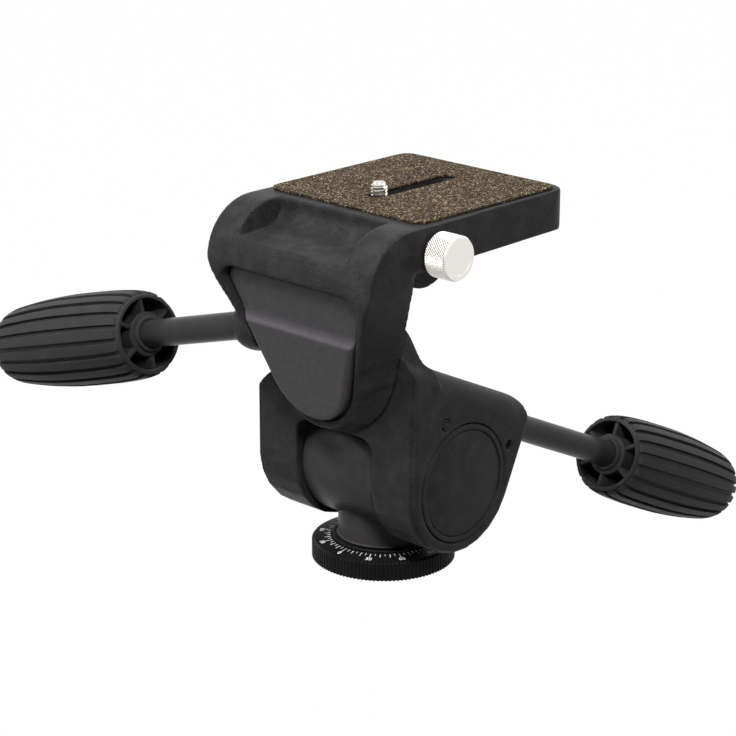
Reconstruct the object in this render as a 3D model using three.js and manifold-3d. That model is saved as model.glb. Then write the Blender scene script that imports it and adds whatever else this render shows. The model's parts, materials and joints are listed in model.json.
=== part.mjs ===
// A three way pan and tilt head for a camera tripod, in millimetres.
// +Z is up the pan axis, from the middle of the base's underside. The tilt axis runs along X.
// The lens looks along -Y, so the rear handle points along +Y and the side handle along -X.
import * as THREE from 'three';
import { mergeVertices } from 'three/addons/utils/BufferGeometryUtils.js';
import Module from 'manifold-3d';

const wasm = await Module();
wasm.setup();

// Fits and facets
const CLEAR = 0.3;
const OVERRUN = 3;
const WELD = 0.0001;
const WIDE_STEPS = 48;
const ROUND_STEPS = 24;
const SMALL_STEPS = 16;
const HEX_STEPS = 6;
const ARC_STEPS = 5;
const BEVEL_STEPS = 2;

// Base: the knurled dial, its spindle and the tripod thread
const DIAL_RADIUS = 27.5;
const DIAL_HEIGHT = 7.25;
const DIAL_CHAMFER = 0.6;
const KNURL_COUNT = 84;
const KNURL_DEPTH = 0.5;
const SPINDLE_RADIUS = 8;
const FLANGE_RADIUS = 13.7;
const FLANGE_BOTTOM = 0.9;
const FLANGE_HEIGHT = 3;
const INSERT_RADIUS = 6.6;
const THREAD_RADIUS = 4.5;
const INSERT_LENGTH = 9;
const BASE_SCREW_COUNT = 3;
const BASE_SCREW_CIRCLE = 10.9;
const BASE_SCREW_RADIUS = 1.25;
const BASE_SCREW_HEAD = 2.3;
const BASE_SCREW_HEAD_HEIGHT = 1.5;
const BASE_SCREW_GRIP = 2;

// Drum: the barrel that the yoke tilts on, and its neck on the pan axis
const DRUM_RADIUS = 25;
const DRUM_HALF = 19;
const DRUM_CHAMFER = 0.8;
const NECK_RADIUS = 17.4;
const NECK_CHAMFER = 0.6;
const INDEX_RADIUS = 19.6;
const INDEX_HEIGHT = 1.45;
const INDEX_CHAMFER = 0.4;
const NUT_ROOM_RADIUS = 12;
const NUT_ROOM_HEIGHT = 8;
const NUT_ROOM_DROP = 9.6;
const SPINDLE_SHORT = 1.7;
const PAN_WASHER_HEIGHT = 1.2;
const PAN_NUT_HEIGHT = 3.6;
const BUSH_WALL = 2.7;
const BUSH_LENGTH = 8;
const AXLE_RADIUS = 6;

// Yoke: the tilting body with its two cheeks
const YOKE_HALF = 40.7;
const YOKE_RADIUS = 27.4;
const YOKE_LIFT = 4.95;
const TILT_HEIGHT = DIAL_HEIGHT + YOKE_LIFT + YOKE_RADIUS;
const NUT_ROOM_TOP = TILT_HEIGHT - NUT_ROOM_DROP;
const NUT_ROOM_BOTTOM = NUT_ROOM_TOP - NUT_ROOM_HEIGHT;
const SPINDLE_TOP = NUT_ROOM_TOP - SPINDLE_SHORT;
const YOKE_FLAT = 0.1;
const YOKE_FRONT = YOKE_RADIUS - YOKE_FLAT;
const YOKE_EDGE = 1.6;
const SLOPE = THREE.MathUtils.degToRad(25);
const ROOF_HEIGHT = 36.6;
const ROOF_EDGE_RADIUS = 8.6;
const HEEL_RADIUS = 9;
const SLOT_HALF = 19.5;
const SLOT_TOP = 17.9;
const SLOT_CORNER = 5.5;
const CAVITY_GAP = 0.5;
const BACK_TILT = THREE.MathUtils.degToRad(32);
const NECK_GAP = 1.1;
const HUMP_TOP = 105.7;
const HUMP_CORNER = 19;
const HUMP_HALF = 35.5;
const HUMP_THICKNESS = 8.9;
const HUMP_ROOT = 80.5;
const HUMP_MEET = THREE.MathUtils.degToRad(10);
const HUMP_FLARE = 3.6;
const HUMP_FILLET = 9;
const HUMP_LEFT = 29;
const LEFT_CUT_TOP = 77.7;
const LEFT_KNEE_HALF = 32.7;
const LEFT_KNEE_HEIGHT = 73.6;
const LEFT_CUT_FOOT = 66;
const COVER_RADIUS = 22.6;
const COVER_RECESS = 2.8;
const COVER_LIP = 2.1;
const COVER_GROOVE = 0.5;
const COVER_SINK = 0.35;
const COVER_ROUND = 0.5;
const TILT_WASHER_RADIUS = 11.6;
const TILT_WASHER_HEIGHT = 1.3;
const AXLE_NUT_RADIUS = 10;
const AXLE_NUT_HEIGHT = 5;
const AXLE_END = 35.2;
const PIN_CAP_RADIUS = 2;
const PIN_CAP_BACK = 9.9;
const PIN_CAP_HEIGHT = 25.3;
const PIN_CAP_LENGTH = 4;
const PIN_CAP_DISH = 0.5;
const SET_SCREW_RADIUS = 1.4;
const SET_SCREW_SOCKET = 0.8;
const SET_SCREW_LENGTH = 5;
const SET_SCREW_SINK = 0.5;
const SET_SCREW_OUT = 25.3;
const SET_SCREW_HEIGHT = 8.5;

// Handles: a rod with a screwed end, a cotter that it draws in, and a ribbed grip
const ROD_RADIUS = 5.4;
const STUD_RADIUS = 2.9;
const STUD_LENGTH = 5.5;
const GLAND_RADIUS = 7;
const GLAND_LENGTH = 6.4;
const GRIP_LENGTH = 85.6;
const GRIP_RADIUS = 18.7;
const GRIP_STATION_SHARES = [0, 0.02, 0.06, 0.24, 0.48, 0.72, 0.9, 0.96, 1];
const GRIP_RADIUS_SHARES = [0.84, 0.87, 0.94, 0.99, 1, 0.955, 0.87, 0.8, 0.62];
const GRIP_RIB_SHARES = [0, 0, 1, 1, 1, 1, 1, 1, 0];
const RIB_COUNT = 20;
const RIB_DEPTH = 1.1;
const RIB_CORNER_SHARES = [0, 0.15, 0.3];
const RIB_LEVEL_SHARES = [1, 0, 1];
const GRIP_RIM = 1.6;
const GRIP_HUB_RADIUS = 8.7;
const GRIP_CORE_WALL = 1.5;
const GRIP_POCKET_DEPTH = 13;
const SPOKE_COUNT = 6;
const SPOKE_WIDTH = 1.6;
const SPOKE_SINK = 0.8;
const CORE_LENGTH = 62;
const CORE_END = 4;
const CAP_LENGTH = 4;
const ROD_IN_GRIP = 56;
const SCALLOP_GAP = 0.3;

// Rear handle: it crosses above the drum and clamps it
const REAR_OFFSET = 26;
const REAR_GRIP_START = 139.6;
const REAR_COTTER_RADIUS = 7;
const REAR_COTTER_INNER = 9;
const REAR_COTTER_OUTER = 16;
const REAR_ROD_START = 17;

// Side handle: it crosses above the side tilt axle and clamps its disc
const SIDE_DROP = THREE.MathUtils.degToRad(15.9);
const PIVOT_HEIGHT = 83.5;
const SIDE_OFFSET = 18.3;
const SIDE_ROD_AHEAD = 7.2;
const SIDE_ROD_FRONT = YOKE_FRONT + SIDE_ROD_AHEAD;
const SIDE_GRIP_START = 92.2;
const SIDE_COTTER_INNER = 8;
const SIDE_COTTER_OUTER = 18;
const SIDE_ROD_START = 19;
const SIDE_GLAND_RADIUS = 6.2;
const SIDE_BOSS_RADIUS = 10.4;
const SIDE_BOSS_START = 12;
const SIDE_BOSS_END = 34.3;
const SIDE_BOSS_NOSE = 9;
const SIDE_BOSS_LIP = 7.2;
const DISC_RADIUS = 17.6;
const DISC_SHARE = 0.36;
const SIDE_AXLE_RADIUS = 6;
const SIDE_AXLE_DEPTH = 7.5;
const SIDE_NUT_RADIUS = 8;
const SIDE_NUT_SHARE = 0.39;

// Bracket: the platform, the hump in front of it and the arm below the hump
const TABLE_TOP = 141.84;
const TABLE_REAR = 57.2;
const TABLE_HALF = 39.8;
const TABLE_CORNER = 7;
const TABLE_EDGE = 1.8;
const SKIRT_REAR = 125.7;
const SKIRT_FRONT = 125;
const SKIRT_CORNER = 3.6;
const TABLE_WALL = 4;
const TABLE_ROOF = 5;
const HUMP_WIDER = 2.05;
const BRACKET_HALF = TABLE_HALF + HUMP_WIDER;
const HUMP_ARC_RADIUS = 21.5;
const HUMP_ARC_PLACE = 30.4;
const ARM_SLOPE = THREE.MathUtils.degToRad(19.4);
const ARM_FRONT_FOOT = 35.2;
const ARM_BOTTOM = 57;
const ARM_FRONT_RADIUS = 21;
const ARM_FRONT_CENTRE = 81.9;
const ARM_FRONT_SPREAD = THREE.MathUtils.degToRad(25.5);
const ARM_REAR_RADIUS = 33;
const ARM_REAR_CENTRE = 90.5;
const ARM_REAR_SPREAD = THREE.MathUtils.degToRad(12.5);
const ARM_GAP = 0.3;
const ARM_CUT_TOP = 150;
const ARM_CUT_HALF = BRACKET_HALF + OVERRUN;
const ARM_CUT_FRONT = 62;
const ARM_SIDE_STEPS = 5;
const ARM_BLEND_TOP = 124;
const ARM_SHOULDER = 130;
const FILLET_RADIUS = 8;
const FILLET_START = 6;
const RECESS_HALF = 27;
const RECESS_BACK = 26.7;
const RECESS_STEP = 4.2;
const RECESS_FLOOR = 131.3;
const RECESS_FALL = 1;
const RECESS_SWEEP = 9;
const HUMP_SILL = 2.5;

// Front plate: a cover let into the arm, bare
const PLATE_CREASE = 98.9;
const PLATE_SLOPE = THREE.MathUtils.degToRad(13.9);
const PLATE_THICKNESS = 4.4;
const PLATE_BORE_WALL = 0.7;
const PLATE_SINK = 2.3;
const PLATE_TOP = 118.7;
const PLATE_RADIUS = 19.4;
const PLATE_CENTRE = 82.7;
const PLATE_SPREAD = THREE.MathUtils.degToRad(21.5);
const PLATE_CORNER = 5;
const PLATE_EDGE = 1.5;
const PLATE_COVE = 4.5;
const PLATE_GAP = 1;

// Camera screw, its slider and its wheel, and the mat with its slot
const MAT_BORDER = 1.4;
const MAT_FRONT = 22.6;
const MAT_REAR = 53.3;
const MAT_CORNER = 5;
const MAT_HEIGHT = 0.9;
const MAT_GAP = 0.1;
const SLOT_WIDTH = 7;
const SLOT_FRONT = 7.5;
const SLOT_REAR = 37.4;
const SCREW_RADIUS = 3.175;
const SCREW_PLACE = 3.1;
const SCREW_STANDS = 4.85;
const SCREW_CHAMFER = 0.7;
const SCREW_TURNS = 4;
const SCREW_PITCH = 1.27;
const SCREW_THREAD_DEPTH = 0.55;
const SLIDER_HALF = 6.5;
const SLIDER_LENGTH = 16;
const SLIDER_HEIGHT = 2.3;
const RAIL_WIDTH = 3;
const RAIL_HEIGHT = 2.6;
const RAIL_FRONT = 14;
const RAIL_REAR = 46;
const LUG_LENGTH = 7;
const LUG_HEIGHT = 9;
const WHEEL_RADIUS = 10.5;
const WHEEL_HEIGHT = 7;
const WHEEL_RIBS = 24;
const WHEEL_RIB_DEPTH = 0.6;

// Lock knob on the platform's side, with its stud and boss
const KNOB_RADIUS = 8.1;
const KNOB_LENGTH = 10.3;
const KNOB_PLACE = 16.9;
const KNOB_DROP = 10.6;
const KNOB_CHAMFER = 0.7;
const KNOB_BAND = 0.8;
const KNOB_TEETH = 40;
const KNOB_ROWS = 6;
const KNOB_TOOTH = 0.35;
const KNOB_STUD_RADIUS = 2.4;
const KNOB_STUD_DEPTH = 6;
const KNOB_STUD_END = 10.5;
const KNOB_BOSS_RADIUS = 14;
const KNOB_BOSS_START = 20;

// Finishes
const castBlack = new THREE.MeshStandardMaterial({ color: 0x2e2e31, roughness: 0.5, metalness: 0.2 });
const satinBlack = new THREE.MeshStandardMaterial({ color: 0x303034, roughness: 0.35, metalness: 0.6 });
const dialBlack = new THREE.MeshStandardMaterial({ color: 0x141416, roughness: 0.4, metalness: 0.4 });
const mouldedBlack = new THREE.MeshStandardMaterial({ color: 0x242426, roughness: 0.6, metalness: 0 });
const gripRubber = new THREE.MeshStandardMaterial({ color: 0x2a2a2c, roughness: 0.65, metalness: 0 });
const corkBrown = new THREE.MeshStandardMaterial({ color: 0x6a5443, roughness: 0.95, metalness: 0 });
const steel = new THREE.MeshStandardMaterial({ color: 0xb9b6b0, roughness: 0.3, metalness: 1 });
const silver = new THREE.MeshStandardMaterial({ color: 0xd8d4cc, roughness: 0.35, metalness: 1 });
const brass = new THREE.MeshStandardMaterial({ color: 0xb58d4a, roughness: 0.35, metalness: 1 });

// The directions that a flat outline and its depth take when it is extruded
const alongX = new THREE.Matrix4().makeBasis(
  new THREE.Vector3(0, 1, 0), new THREE.Vector3(0, 0, 1), new THREE.Vector3(1, 0, 0));
const alongMinusY = new THREE.Matrix4().makeBasis(
  new THREE.Vector3(1, 0, 0), new THREE.Vector3(0, 0, 1), new THREE.Vector3(0, -1, 0));
const latheUp = new THREE.Matrix4().makeRotationX(Math.PI / 2);

function move(x, y, z) {
  return new THREE.Matrix4().makeTranslation(x, y, z);
}

// A manifold solid from a closed geometry, with the slivers at a lathe's poles left out
function solid(geometry, matrix = new THREE.Matrix4()) {
  const plain = geometry.clone().applyMatrix4(matrix);
  plain.deleteAttribute('normal');
  plain.deleteAttribute('uv');
  const merged = mergeVertices(plain, WELD);
  const index = merged.index.array;
  const kept = [];
  for (let i = 0; i < index.length; i += 3) {
    const [a, b, c] = [index[i], index[i + 1], index[i + 2]];
    if (a !== b && b !== c && c !== a) {
      kept.push(a, b, c);
    }
  }
  return new wasm.Manifold(new wasm.Mesh({
    numProp: 3,
    vertProperties: Float32Array.from(merged.attributes.position.array),
    triVerts: Uint32Array.from(kept),
  }));
}

function geometryOf(manifold) {
  const { vertProperties, triVerts } = manifold.getMesh();
  const geometry = new THREE.BufferGeometry();
  geometry.setAttribute('position', new THREE.BufferAttribute(Float32Array.from(vertProperties), 3));
  geometry.setIndex(new THREE.BufferAttribute(Uint32Array.from(triVerts), 1));
  geometry.computeVertexNormals();
  return geometry;
}

function extrude(shape, depth, bevel = 0, arcSteps = ARC_STEPS) {
  const geometry = new THREE.ExtrudeGeometry(shape, {
    depth: depth - 2 * bevel,
    curveSegments: arcSteps,
    bevelEnabled: bevel > 0,
    bevelSize: bevel,
    bevelThickness: bevel,
    bevelOffset: -bevel,
    bevelSegments: BEVEL_STEPS,
  });
  return geometry.translate(0, 0, bevel);
}

// A prism of a Y-Z outline from x = low to x = high
function prismX(shape, low, high, bevel = 0) {
  return solid(extrude(shape, high - low, bevel), move(low, 0, 0).multiply(alongX));
}

// A prism of an X-Z outline from y = back towards the front, where front is less than back
function prismY(shape, front, back, bevel = 0) {
  return solid(extrude(shape, back - front, bevel), move(0, back, 0).multiply(alongMinusY));
}

function prismZ(shape, low, high, bevel = 0) {
  return solid(extrude(shape, high - low, bevel), move(0, 0, low));
}

// A turned solid about Z. The profile is a list of [radius, height] that closes on itself or on the axis.
function turned(profile, steps = ROUND_STEPS) {
  const points = profile.map(([radius, height]) => new THREE.Vector2(radius, height));
  if (profile[0][0] > 0) {
    points.push(points[0].clone());
  }
  return solid(new THREE.LatheGeometry(points, steps), latheUp);
}

function rod(radius, low, high, steps = SMALL_STEPS) {
  return turned([[0, low], [radius, low], [radius, high], [0, high]], steps);
}

function tube(outer, inner, low, high, steps = ROUND_STEPS) {
  return turned([[inner, low], [outer, low], [outer, high], [inner, high]], steps);
}

function pointAt(radius, angle, height) {
  return new THREE.Vector3(radius * Math.cos(angle), radius * Math.sin(angle), height);
}

// A closed skin over rings of equally many points, with a fan over each end. The rings follow each other
// along an axis, and each runs anticlockwise as seen from the last one.
function skin(rings, splitsOtherWay = () => false) {
  const count = rings[0].length;
  const middles = [rings[0], rings[rings.length - 1]].map((ring) => (
    ring.reduce((sum, point) => sum.add(point), new THREE.Vector3()).divideScalar(count)));
  const index = [];
  for (let row = 0; row + 1 < rings.length; row += 1) {
    for (let i = 0; i < count; i += 1) {
      const a = row * count + i;
      const b = row * count + ((i + 1) % count);
      const [c, d] = [a + count, b + count];
      index.push(...(splitsOtherWay(row, i) ? [a, b, c, b, d, c] : [a, b, d, a, d, c]));
    }
  }
  const foot = rings.length * count;
  const last = foot - count;
  for (let i = 0; i < count; i += 1) {
    const next = (i + 1) % count;
    index.push(foot, next, i, foot + 1, last + i, last + next);
  }
  const geometry = new THREE.BufferGeometry().setFromPoints([...rings.flat(), ...middles]);
  geometry.setIndex(index);
  return solid(geometry);
}

// The frames that pieces are turned in: Z of the frame becomes the axis named
const toX = new THREE.Matrix4().makeRotationY(Math.PI / 2);
const toMinusX = new THREE.Matrix4().makeRotationY(-Math.PI / 2);
const toMinusY = new THREE.Matrix4().makeRotationX(Math.PI / 2);

function placed(manifold, matrix) {
  return manifold.transform(matrix.elements);
}

function box(low, high) {
  const size = new THREE.Vector3().subVectors(high, low);
  const middle = new THREE.Vector3().addVectors(low, high).multiplyScalar(0.5);
  return solid(new THREE.BoxGeometry(size.x, size.y, size.z), move(middle.x, middle.y, middle.z));
}

function allOf(pieces) {
  return pieces.reduce((whole, piece) => whole.add(piece));
}

const model = new THREE.Group();

function show(name, manifold, material, parent = model) {
  const mesh = new THREE.Mesh(geometryOf(manifold), material);
  mesh.name = name;
  parent.add(mesh);
  return mesh;
}

// A wheel's outline with a straight knurl: teeth that stand between two radii
function knurledOutline(radius, depth, count) {
  const points = [];
  for (let i = 0; i < 2 * count; i += 1) {
    const reach = i % 2 === 0 ? radius : radius - depth;
    const angle = (i * Math.PI) / count;
    points.push(new THREE.Vector2(reach * Math.cos(angle), reach * Math.sin(angle)));
  }
  return new THREE.Shape(points);
}

// Where the base screws stand, as turns about the pan axis
const baseScrewTurns = Array.from({ length: BASE_SCREW_COUNT }, (_, i) => (
  new THREE.Matrix4().makeRotationZ((i * 2 * Math.PI) / BASE_SCREW_COUNT)
    .multiply(move(BASE_SCREW_CIRCLE, 0, 0))));

function buildBase() {
  const flangeTop = FLANGE_BOTTOM + FLANGE_HEIGHT;
  const screwTop = flangeTop + CLEAR + BASE_SCREW_GRIP;
  const rim = prismZ(knurledOutline(DIAL_RADIUS, KNURL_DEPTH, KNURL_COUNT), 0, DIAL_HEIGHT - DIAL_CHAMFER);
  const face = turned([
    [0, 0], [DIAL_RADIUS - KNURL_DEPTH, 0], [DIAL_RADIUS - KNURL_DEPTH, DIAL_HEIGHT - DIAL_CHAMFER],
    [DIAL_RADIUS - KNURL_DEPTH - DIAL_CHAMFER, DIAL_HEIGHT], [0, DIAL_HEIGHT],
  ], WIDE_STEPS);
  const flangeRoom = rod(FLANGE_RADIUS + CLEAR, -OVERRUN, flangeTop + CLEAR, ROUND_STEPS);
  const spindleRoom = rod(SPINDLE_RADIUS + CLEAR, -OVERRUN, DIAL_HEIGHT + OVERRUN, ROUND_STEPS);
  let dial = rim.add(face).subtract(flangeRoom).subtract(spindleRoom);

  const insertRoom = rod(INSERT_RADIUS + CLEAR, -OVERRUN, FLANGE_BOTTOM + INSERT_LENGTH + CLEAR);
  let spindle = turned([
    [0, FLANGE_BOTTOM], [FLANGE_RADIUS, FLANGE_BOTTOM], [FLANGE_RADIUS, flangeTop],
    [SPINDLE_RADIUS, flangeTop], [SPINDLE_RADIUS, SPINDLE_TOP], [0, SPINDLE_TOP],
  ]).subtract(insertRoom);

  const headTop = FLANGE_BOTTOM + BASE_SCREW_HEAD_HEIGHT;
  const screw = turned([
    [0, FLANGE_BOTTOM], [BASE_SCREW_HEAD, FLANGE_BOTTOM], [BASE_SCREW_RADIUS, headTop],
    [BASE_SCREW_RADIUS, screwTop], [0, screwTop],
  ], SMALL_STEPS);
  const screwRoom = turned([
    [0, -OVERRUN], [BASE_SCREW_HEAD + CLEAR, -OVERRUN], [BASE_SCREW_HEAD + CLEAR, FLANGE_BOTTOM],
    [BASE_SCREW_RADIUS + CLEAR, headTop + CLEAR], [BASE_SCREW_RADIUS + CLEAR, screwTop + CLEAR],
    [0, screwTop + CLEAR],
  ], SMALL_STEPS);
  baseScrewTurns.forEach((turn, i) => {
    dial = dial.subtract(placed(screwRoom, turn));
    spindle = spindle.subtract(placed(screwRoom, turn));
    show(`base_screw_${i + 1}`, placed(screw, turn), steel);
  });
  show('base_dial', dial, dialBlack);
  show('pan_spindle', spindle, steel);
  const insertTop = FLANGE_BOTTOM + INSERT_LENGTH;
  show('thread_insert', tube(INSERT_RADIUS, THREAD_RADIUS, FLANGE_BOTTOM, insertTop), brass);
}

function buildDrum() {
  const indexBottom = DIAL_HEIGHT + CLEAR;
  const indexTop = indexBottom + INDEX_HEIGHT;
  const neckBottom = indexTop + CLEAR;
  const barrel = placed(turned([
    [0, -DRUM_HALF], [DRUM_RADIUS - DRUM_CHAMFER, -DRUM_HALF], [DRUM_RADIUS, DRUM_CHAMFER - DRUM_HALF],
    [DRUM_RADIUS, DRUM_HALF - DRUM_CHAMFER], [DRUM_RADIUS - DRUM_CHAMFER, DRUM_HALF], [0, DRUM_HALF],
  ], WIDE_STEPS), move(0, 0, TILT_HEIGHT).multiply(toX));
  const neck = turned([
    [0, neckBottom], [NECK_RADIUS - NECK_CHAMFER, neckBottom], [NECK_RADIUS, neckBottom + NECK_CHAMFER],
    [NECK_RADIUS, TILT_HEIGHT], [0, TILT_HEIGHT],
  ]);
  const spindleBore = rod(SPINDLE_RADIUS + CLEAR, 0, NUT_ROOM_BOTTOM + CLEAR, ROUND_STEPS);
  const nutRoom = rod(NUT_ROOM_RADIUS, NUT_ROOM_BOTTOM, NUT_ROOM_TOP, ROUND_STEPS);
  const bushOuter = AXLE_RADIUS + CLEAR + BUSH_WALL;
  const axleBore = rod(AXLE_RADIUS + 2 * CLEAR, -DRUM_HALF - OVERRUN, DRUM_HALF + OVERRUN);
  const bushBore = rod(bushOuter + CLEAR, DRUM_HALF - BUSH_LENGTH - CLEAR, DRUM_HALF + OVERRUN, ROUND_STEPS);
  const bush = tube(bushOuter, AXLE_RADIUS + CLEAR, DRUM_HALF - BUSH_LENGTH, DRUM_HALF);
  const right = move(0, 0, TILT_HEIGHT).multiply(toX);
  const left = move(0, 0, TILT_HEIGHT).multiply(toMinusX);
  const drum = barrel.add(neck).subtract(allOf([spindleBore, nutRoom]))
    .subtract(allOf([placed(axleBore, right), placed(bushBore, right), placed(bushBore, left)]));
  show('tilt_drum', drum, satinBlack);
  show('drum_bush_right', placed(bush, right), brass);
  show('drum_bush_left', placed(bush, left), brass);

  const inner = SPINDLE_RADIUS + CLEAR;
  show('index_ring', turned([
    [inner, indexBottom], [INDEX_RADIUS, indexBottom], [INDEX_RADIUS, indexTop - INDEX_CHAMFER],
    [INDEX_RADIUS - INDEX_CHAMFER, indexTop], [inner, indexTop],
  ]), dialBlack);
  const washerBottom = NUT_ROOM_BOTTOM + CLEAR;
  const nutBottom = washerBottom + PAN_WASHER_HEIGHT + CLEAR;
  const washerTop = washerBottom + PAN_WASHER_HEIGHT;
  show('pan_washer', tube(NUT_ROOM_RADIUS - CLEAR, inner, washerBottom, washerTop), brass);
  const nutBore = rod(inner, nutBottom - OVERRUN, nutBottom + PAN_NUT_HEIGHT + OVERRUN);
  show('pan_nut', rod(NUT_ROOM_RADIUS - CLEAR, nutBottom, nutBottom + PAN_NUT_HEIGHT, HEX_STEPS)
    .subtract(nutBore), steel);
}

// The rear handle's frame: its Z runs out along the rod, its X along the tilt axis
const rearFrame = move(0, 0, TILT_HEIGHT).multiply(new THREE.Matrix4().makeRotationX(-Math.PI / 2 - SLOPE));
const rearRodFrame = rearFrame.clone().multiply(move(0, -REAR_OFFSET, 0));
// The side handle's frame: its Z runs out along the rod, its Y along the pivot
const sideFrame = move(0, -SIDE_ROD_FRONT, PIVOT_HEIGHT)
  .multiply(new THREE.Matrix4().makeRotationY(-Math.PI / 2 - SIDE_DROP));
const sideRodFrame = sideFrame.clone().multiply(move(SIDE_OFFSET, 0, 0));

// The yoke seen from the side: a flat front, a round bottom, a sloping back and a sloping roof
function yokeSide() {
  const at = (out, up) => [
    out * Math.cos(SLOPE) + up * Math.sin(SLOPE),
    TILT_HEIGHT - out * Math.sin(SLOPE) + up * Math.cos(SLOPE),
  ];
  const chin = Math.acos(YOKE_FRONT / YOKE_RADIUS);
  const [heelY, heelZ] = at(YOKE_RADIUS - HEEL_RADIUS, ROOF_HEIGHT - HEEL_RADIUS);
  const roofFront = TILT_HEIGHT + (ROOF_HEIGHT + YOKE_FRONT * Math.sin(SLOPE)) / Math.cos(SLOPE);
  return new THREE.Shape()
    .moveTo(-YOKE_FRONT, roofFront)
    .lineTo(-YOKE_FRONT, TILT_HEIGHT)
    .absarc(0, TILT_HEIGHT, YOKE_RADIUS, chin - Math.PI, -SLOPE, false)
    .absarc(heelY, heelZ, HEEL_RADIUS, -SLOPE, Math.PI / 2 - SLOPE, false)
    .lineTo(-YOKE_FRONT, roofFront);
}

// The yoke's front wall seen from the front: cheeks that draw in to a round head. The left cheek is cut
// away at a slant, because the table's underside passes it when the camera is turned upright.
function yokeHead() {
  const centre = HUMP_HALF - HUMP_CORNER;
  const height = HUMP_TOP - HUMP_CORNER;
  const meetX = centre + HUMP_CORNER * Math.cos(HUMP_MEET);
  const meetZ = height + HUMP_CORNER * Math.sin(HUMP_MEET);
  const guideX = meetX + HUMP_FLARE * Math.sin(HUMP_MEET);
  const guideZ = meetZ - HUMP_FLARE * Math.cos(HUMP_MEET);
  return new THREE.Shape()
    .moveTo(-YOKE_HALF, TILT_HEIGHT)
    .lineTo(YOKE_HALF, TILT_HEIGHT)
    .lineTo(YOKE_HALF, HUMP_ROOT)
    .bezierCurveTo(YOKE_HALF, HUMP_ROOT + HUMP_FLARE, guideX, guideZ, meetX, meetZ)
    .absarc(centre, height, HUMP_CORNER, HUMP_MEET, Math.PI / 2, false)
    .absarc(HUMP_CORNER - HUMP_LEFT, height, HUMP_CORNER, Math.PI / 2, Math.PI, false)
    .lineTo(-HUMP_LEFT, LEFT_CUT_TOP)
    .lineTo(-LEFT_KNEE_HALF, LEFT_KNEE_HEIGHT)
    .lineTo(-YOKE_HALF, LEFT_CUT_FOOT)
    .lineTo(-YOKE_HALF, TILT_HEIGHT);
}

// What the slanted cut on the left takes from the yoke's body
function leftCut() {
  const outside = -YOKE_HALF - OVERRUN;
  const foot = LEFT_CUT_FOOT - (OVERRUN * (LEFT_KNEE_HEIGHT - LEFT_CUT_FOOT)) / (YOKE_HALF - LEFT_KNEE_HALF);
  const shape = new THREE.Shape()
    .moveTo(outside, foot)
    .lineTo(-LEFT_KNEE_HALF, LEFT_KNEE_HEIGHT)
    .lineTo(-HUMP_LEFT, LEFT_CUT_TOP)
    .lineTo(-HUMP_LEFT, HUMP_TOP)
    .lineTo(outside, HUMP_TOP)
    .lineTo(outside, foot);
  return prismY(shape, -2 * YOKE_RADIUS, 2 * YOKE_RADIUS);
}

// The roof's long edges are rounded, so the side outline is cut by this one, which runs down the slope
function yokeRoof() {
  const centre = YOKE_HALF - ROOF_EDGE_RADIUS;
  const shape = new THREE.Shape()
    .moveTo(-YOKE_HALF, -2 * YOKE_RADIUS)
    .lineTo(YOKE_HALF, -2 * YOKE_RADIUS)
    .absarc(centre, ROOF_HEIGHT - ROOF_EDGE_RADIUS, ROOF_EDGE_RADIUS, 0, Math.PI / 2, false)
    .absarc(-centre, ROOF_HEIGHT - ROOF_EDGE_RADIUS, ROOF_EDGE_RADIUS, Math.PI / 2, Math.PI, false)
    .lineTo(-YOKE_HALF, -2 * YOKE_RADIUS);
  const length = 4 * YOKE_RADIUS;
  const turn = new THREE.Matrix4().makeBasis(
    new THREE.Vector3(1, 0, 0),
    new THREE.Vector3(0, Math.sin(SLOPE), Math.cos(SLOPE)),
    new THREE.Vector3(0, -Math.cos(SLOPE), Math.sin(SLOPE)));
  const place = move(0, 0, TILT_HEIGHT).multiply(turn).multiply(move(0, 0, -length));
  return solid(extrude(shape, 2 * length), place);
}

// The concave fillet between the head's back and the roof
function headFillet() {
  const back = HUMP_THICKNESS - YOKE_FRONT;
  const centreY = back + HUMP_FILLET;
  const centreUp = (ROOF_HEIGHT + HUMP_FILLET - centreY * Math.sin(SLOPE)) / Math.cos(SLOPE);
  const centreZ = TILT_HEIGHT + centreUp;
  const shape = new THREE.Shape()
    .moveTo(back - CLEAR, centreZ)
    .lineTo(back - CLEAR, TILT_HEIGHT + ROOF_HEIGHT - HUMP_FILLET)
    .lineTo(centreY - HUMP_FILLET * Math.sin(SLOPE), TILT_HEIGHT + ROOF_HEIGHT - HUMP_FILLET)
    .lineTo(centreY - HUMP_FILLET * Math.sin(SLOPE), centreZ - HUMP_FILLET * Math.cos(SLOPE))
    .absarc(centreY, centreZ, HUMP_FILLET, -Math.PI / 2 - SLOPE, -Math.PI, true)
    .lineTo(back - CLEAR, centreZ);
  return prismX(shape, -YOKE_HALF, YOKE_HALF).intersect(prismY(yokeHead(), back - OVERRUN, centreY));
}

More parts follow.
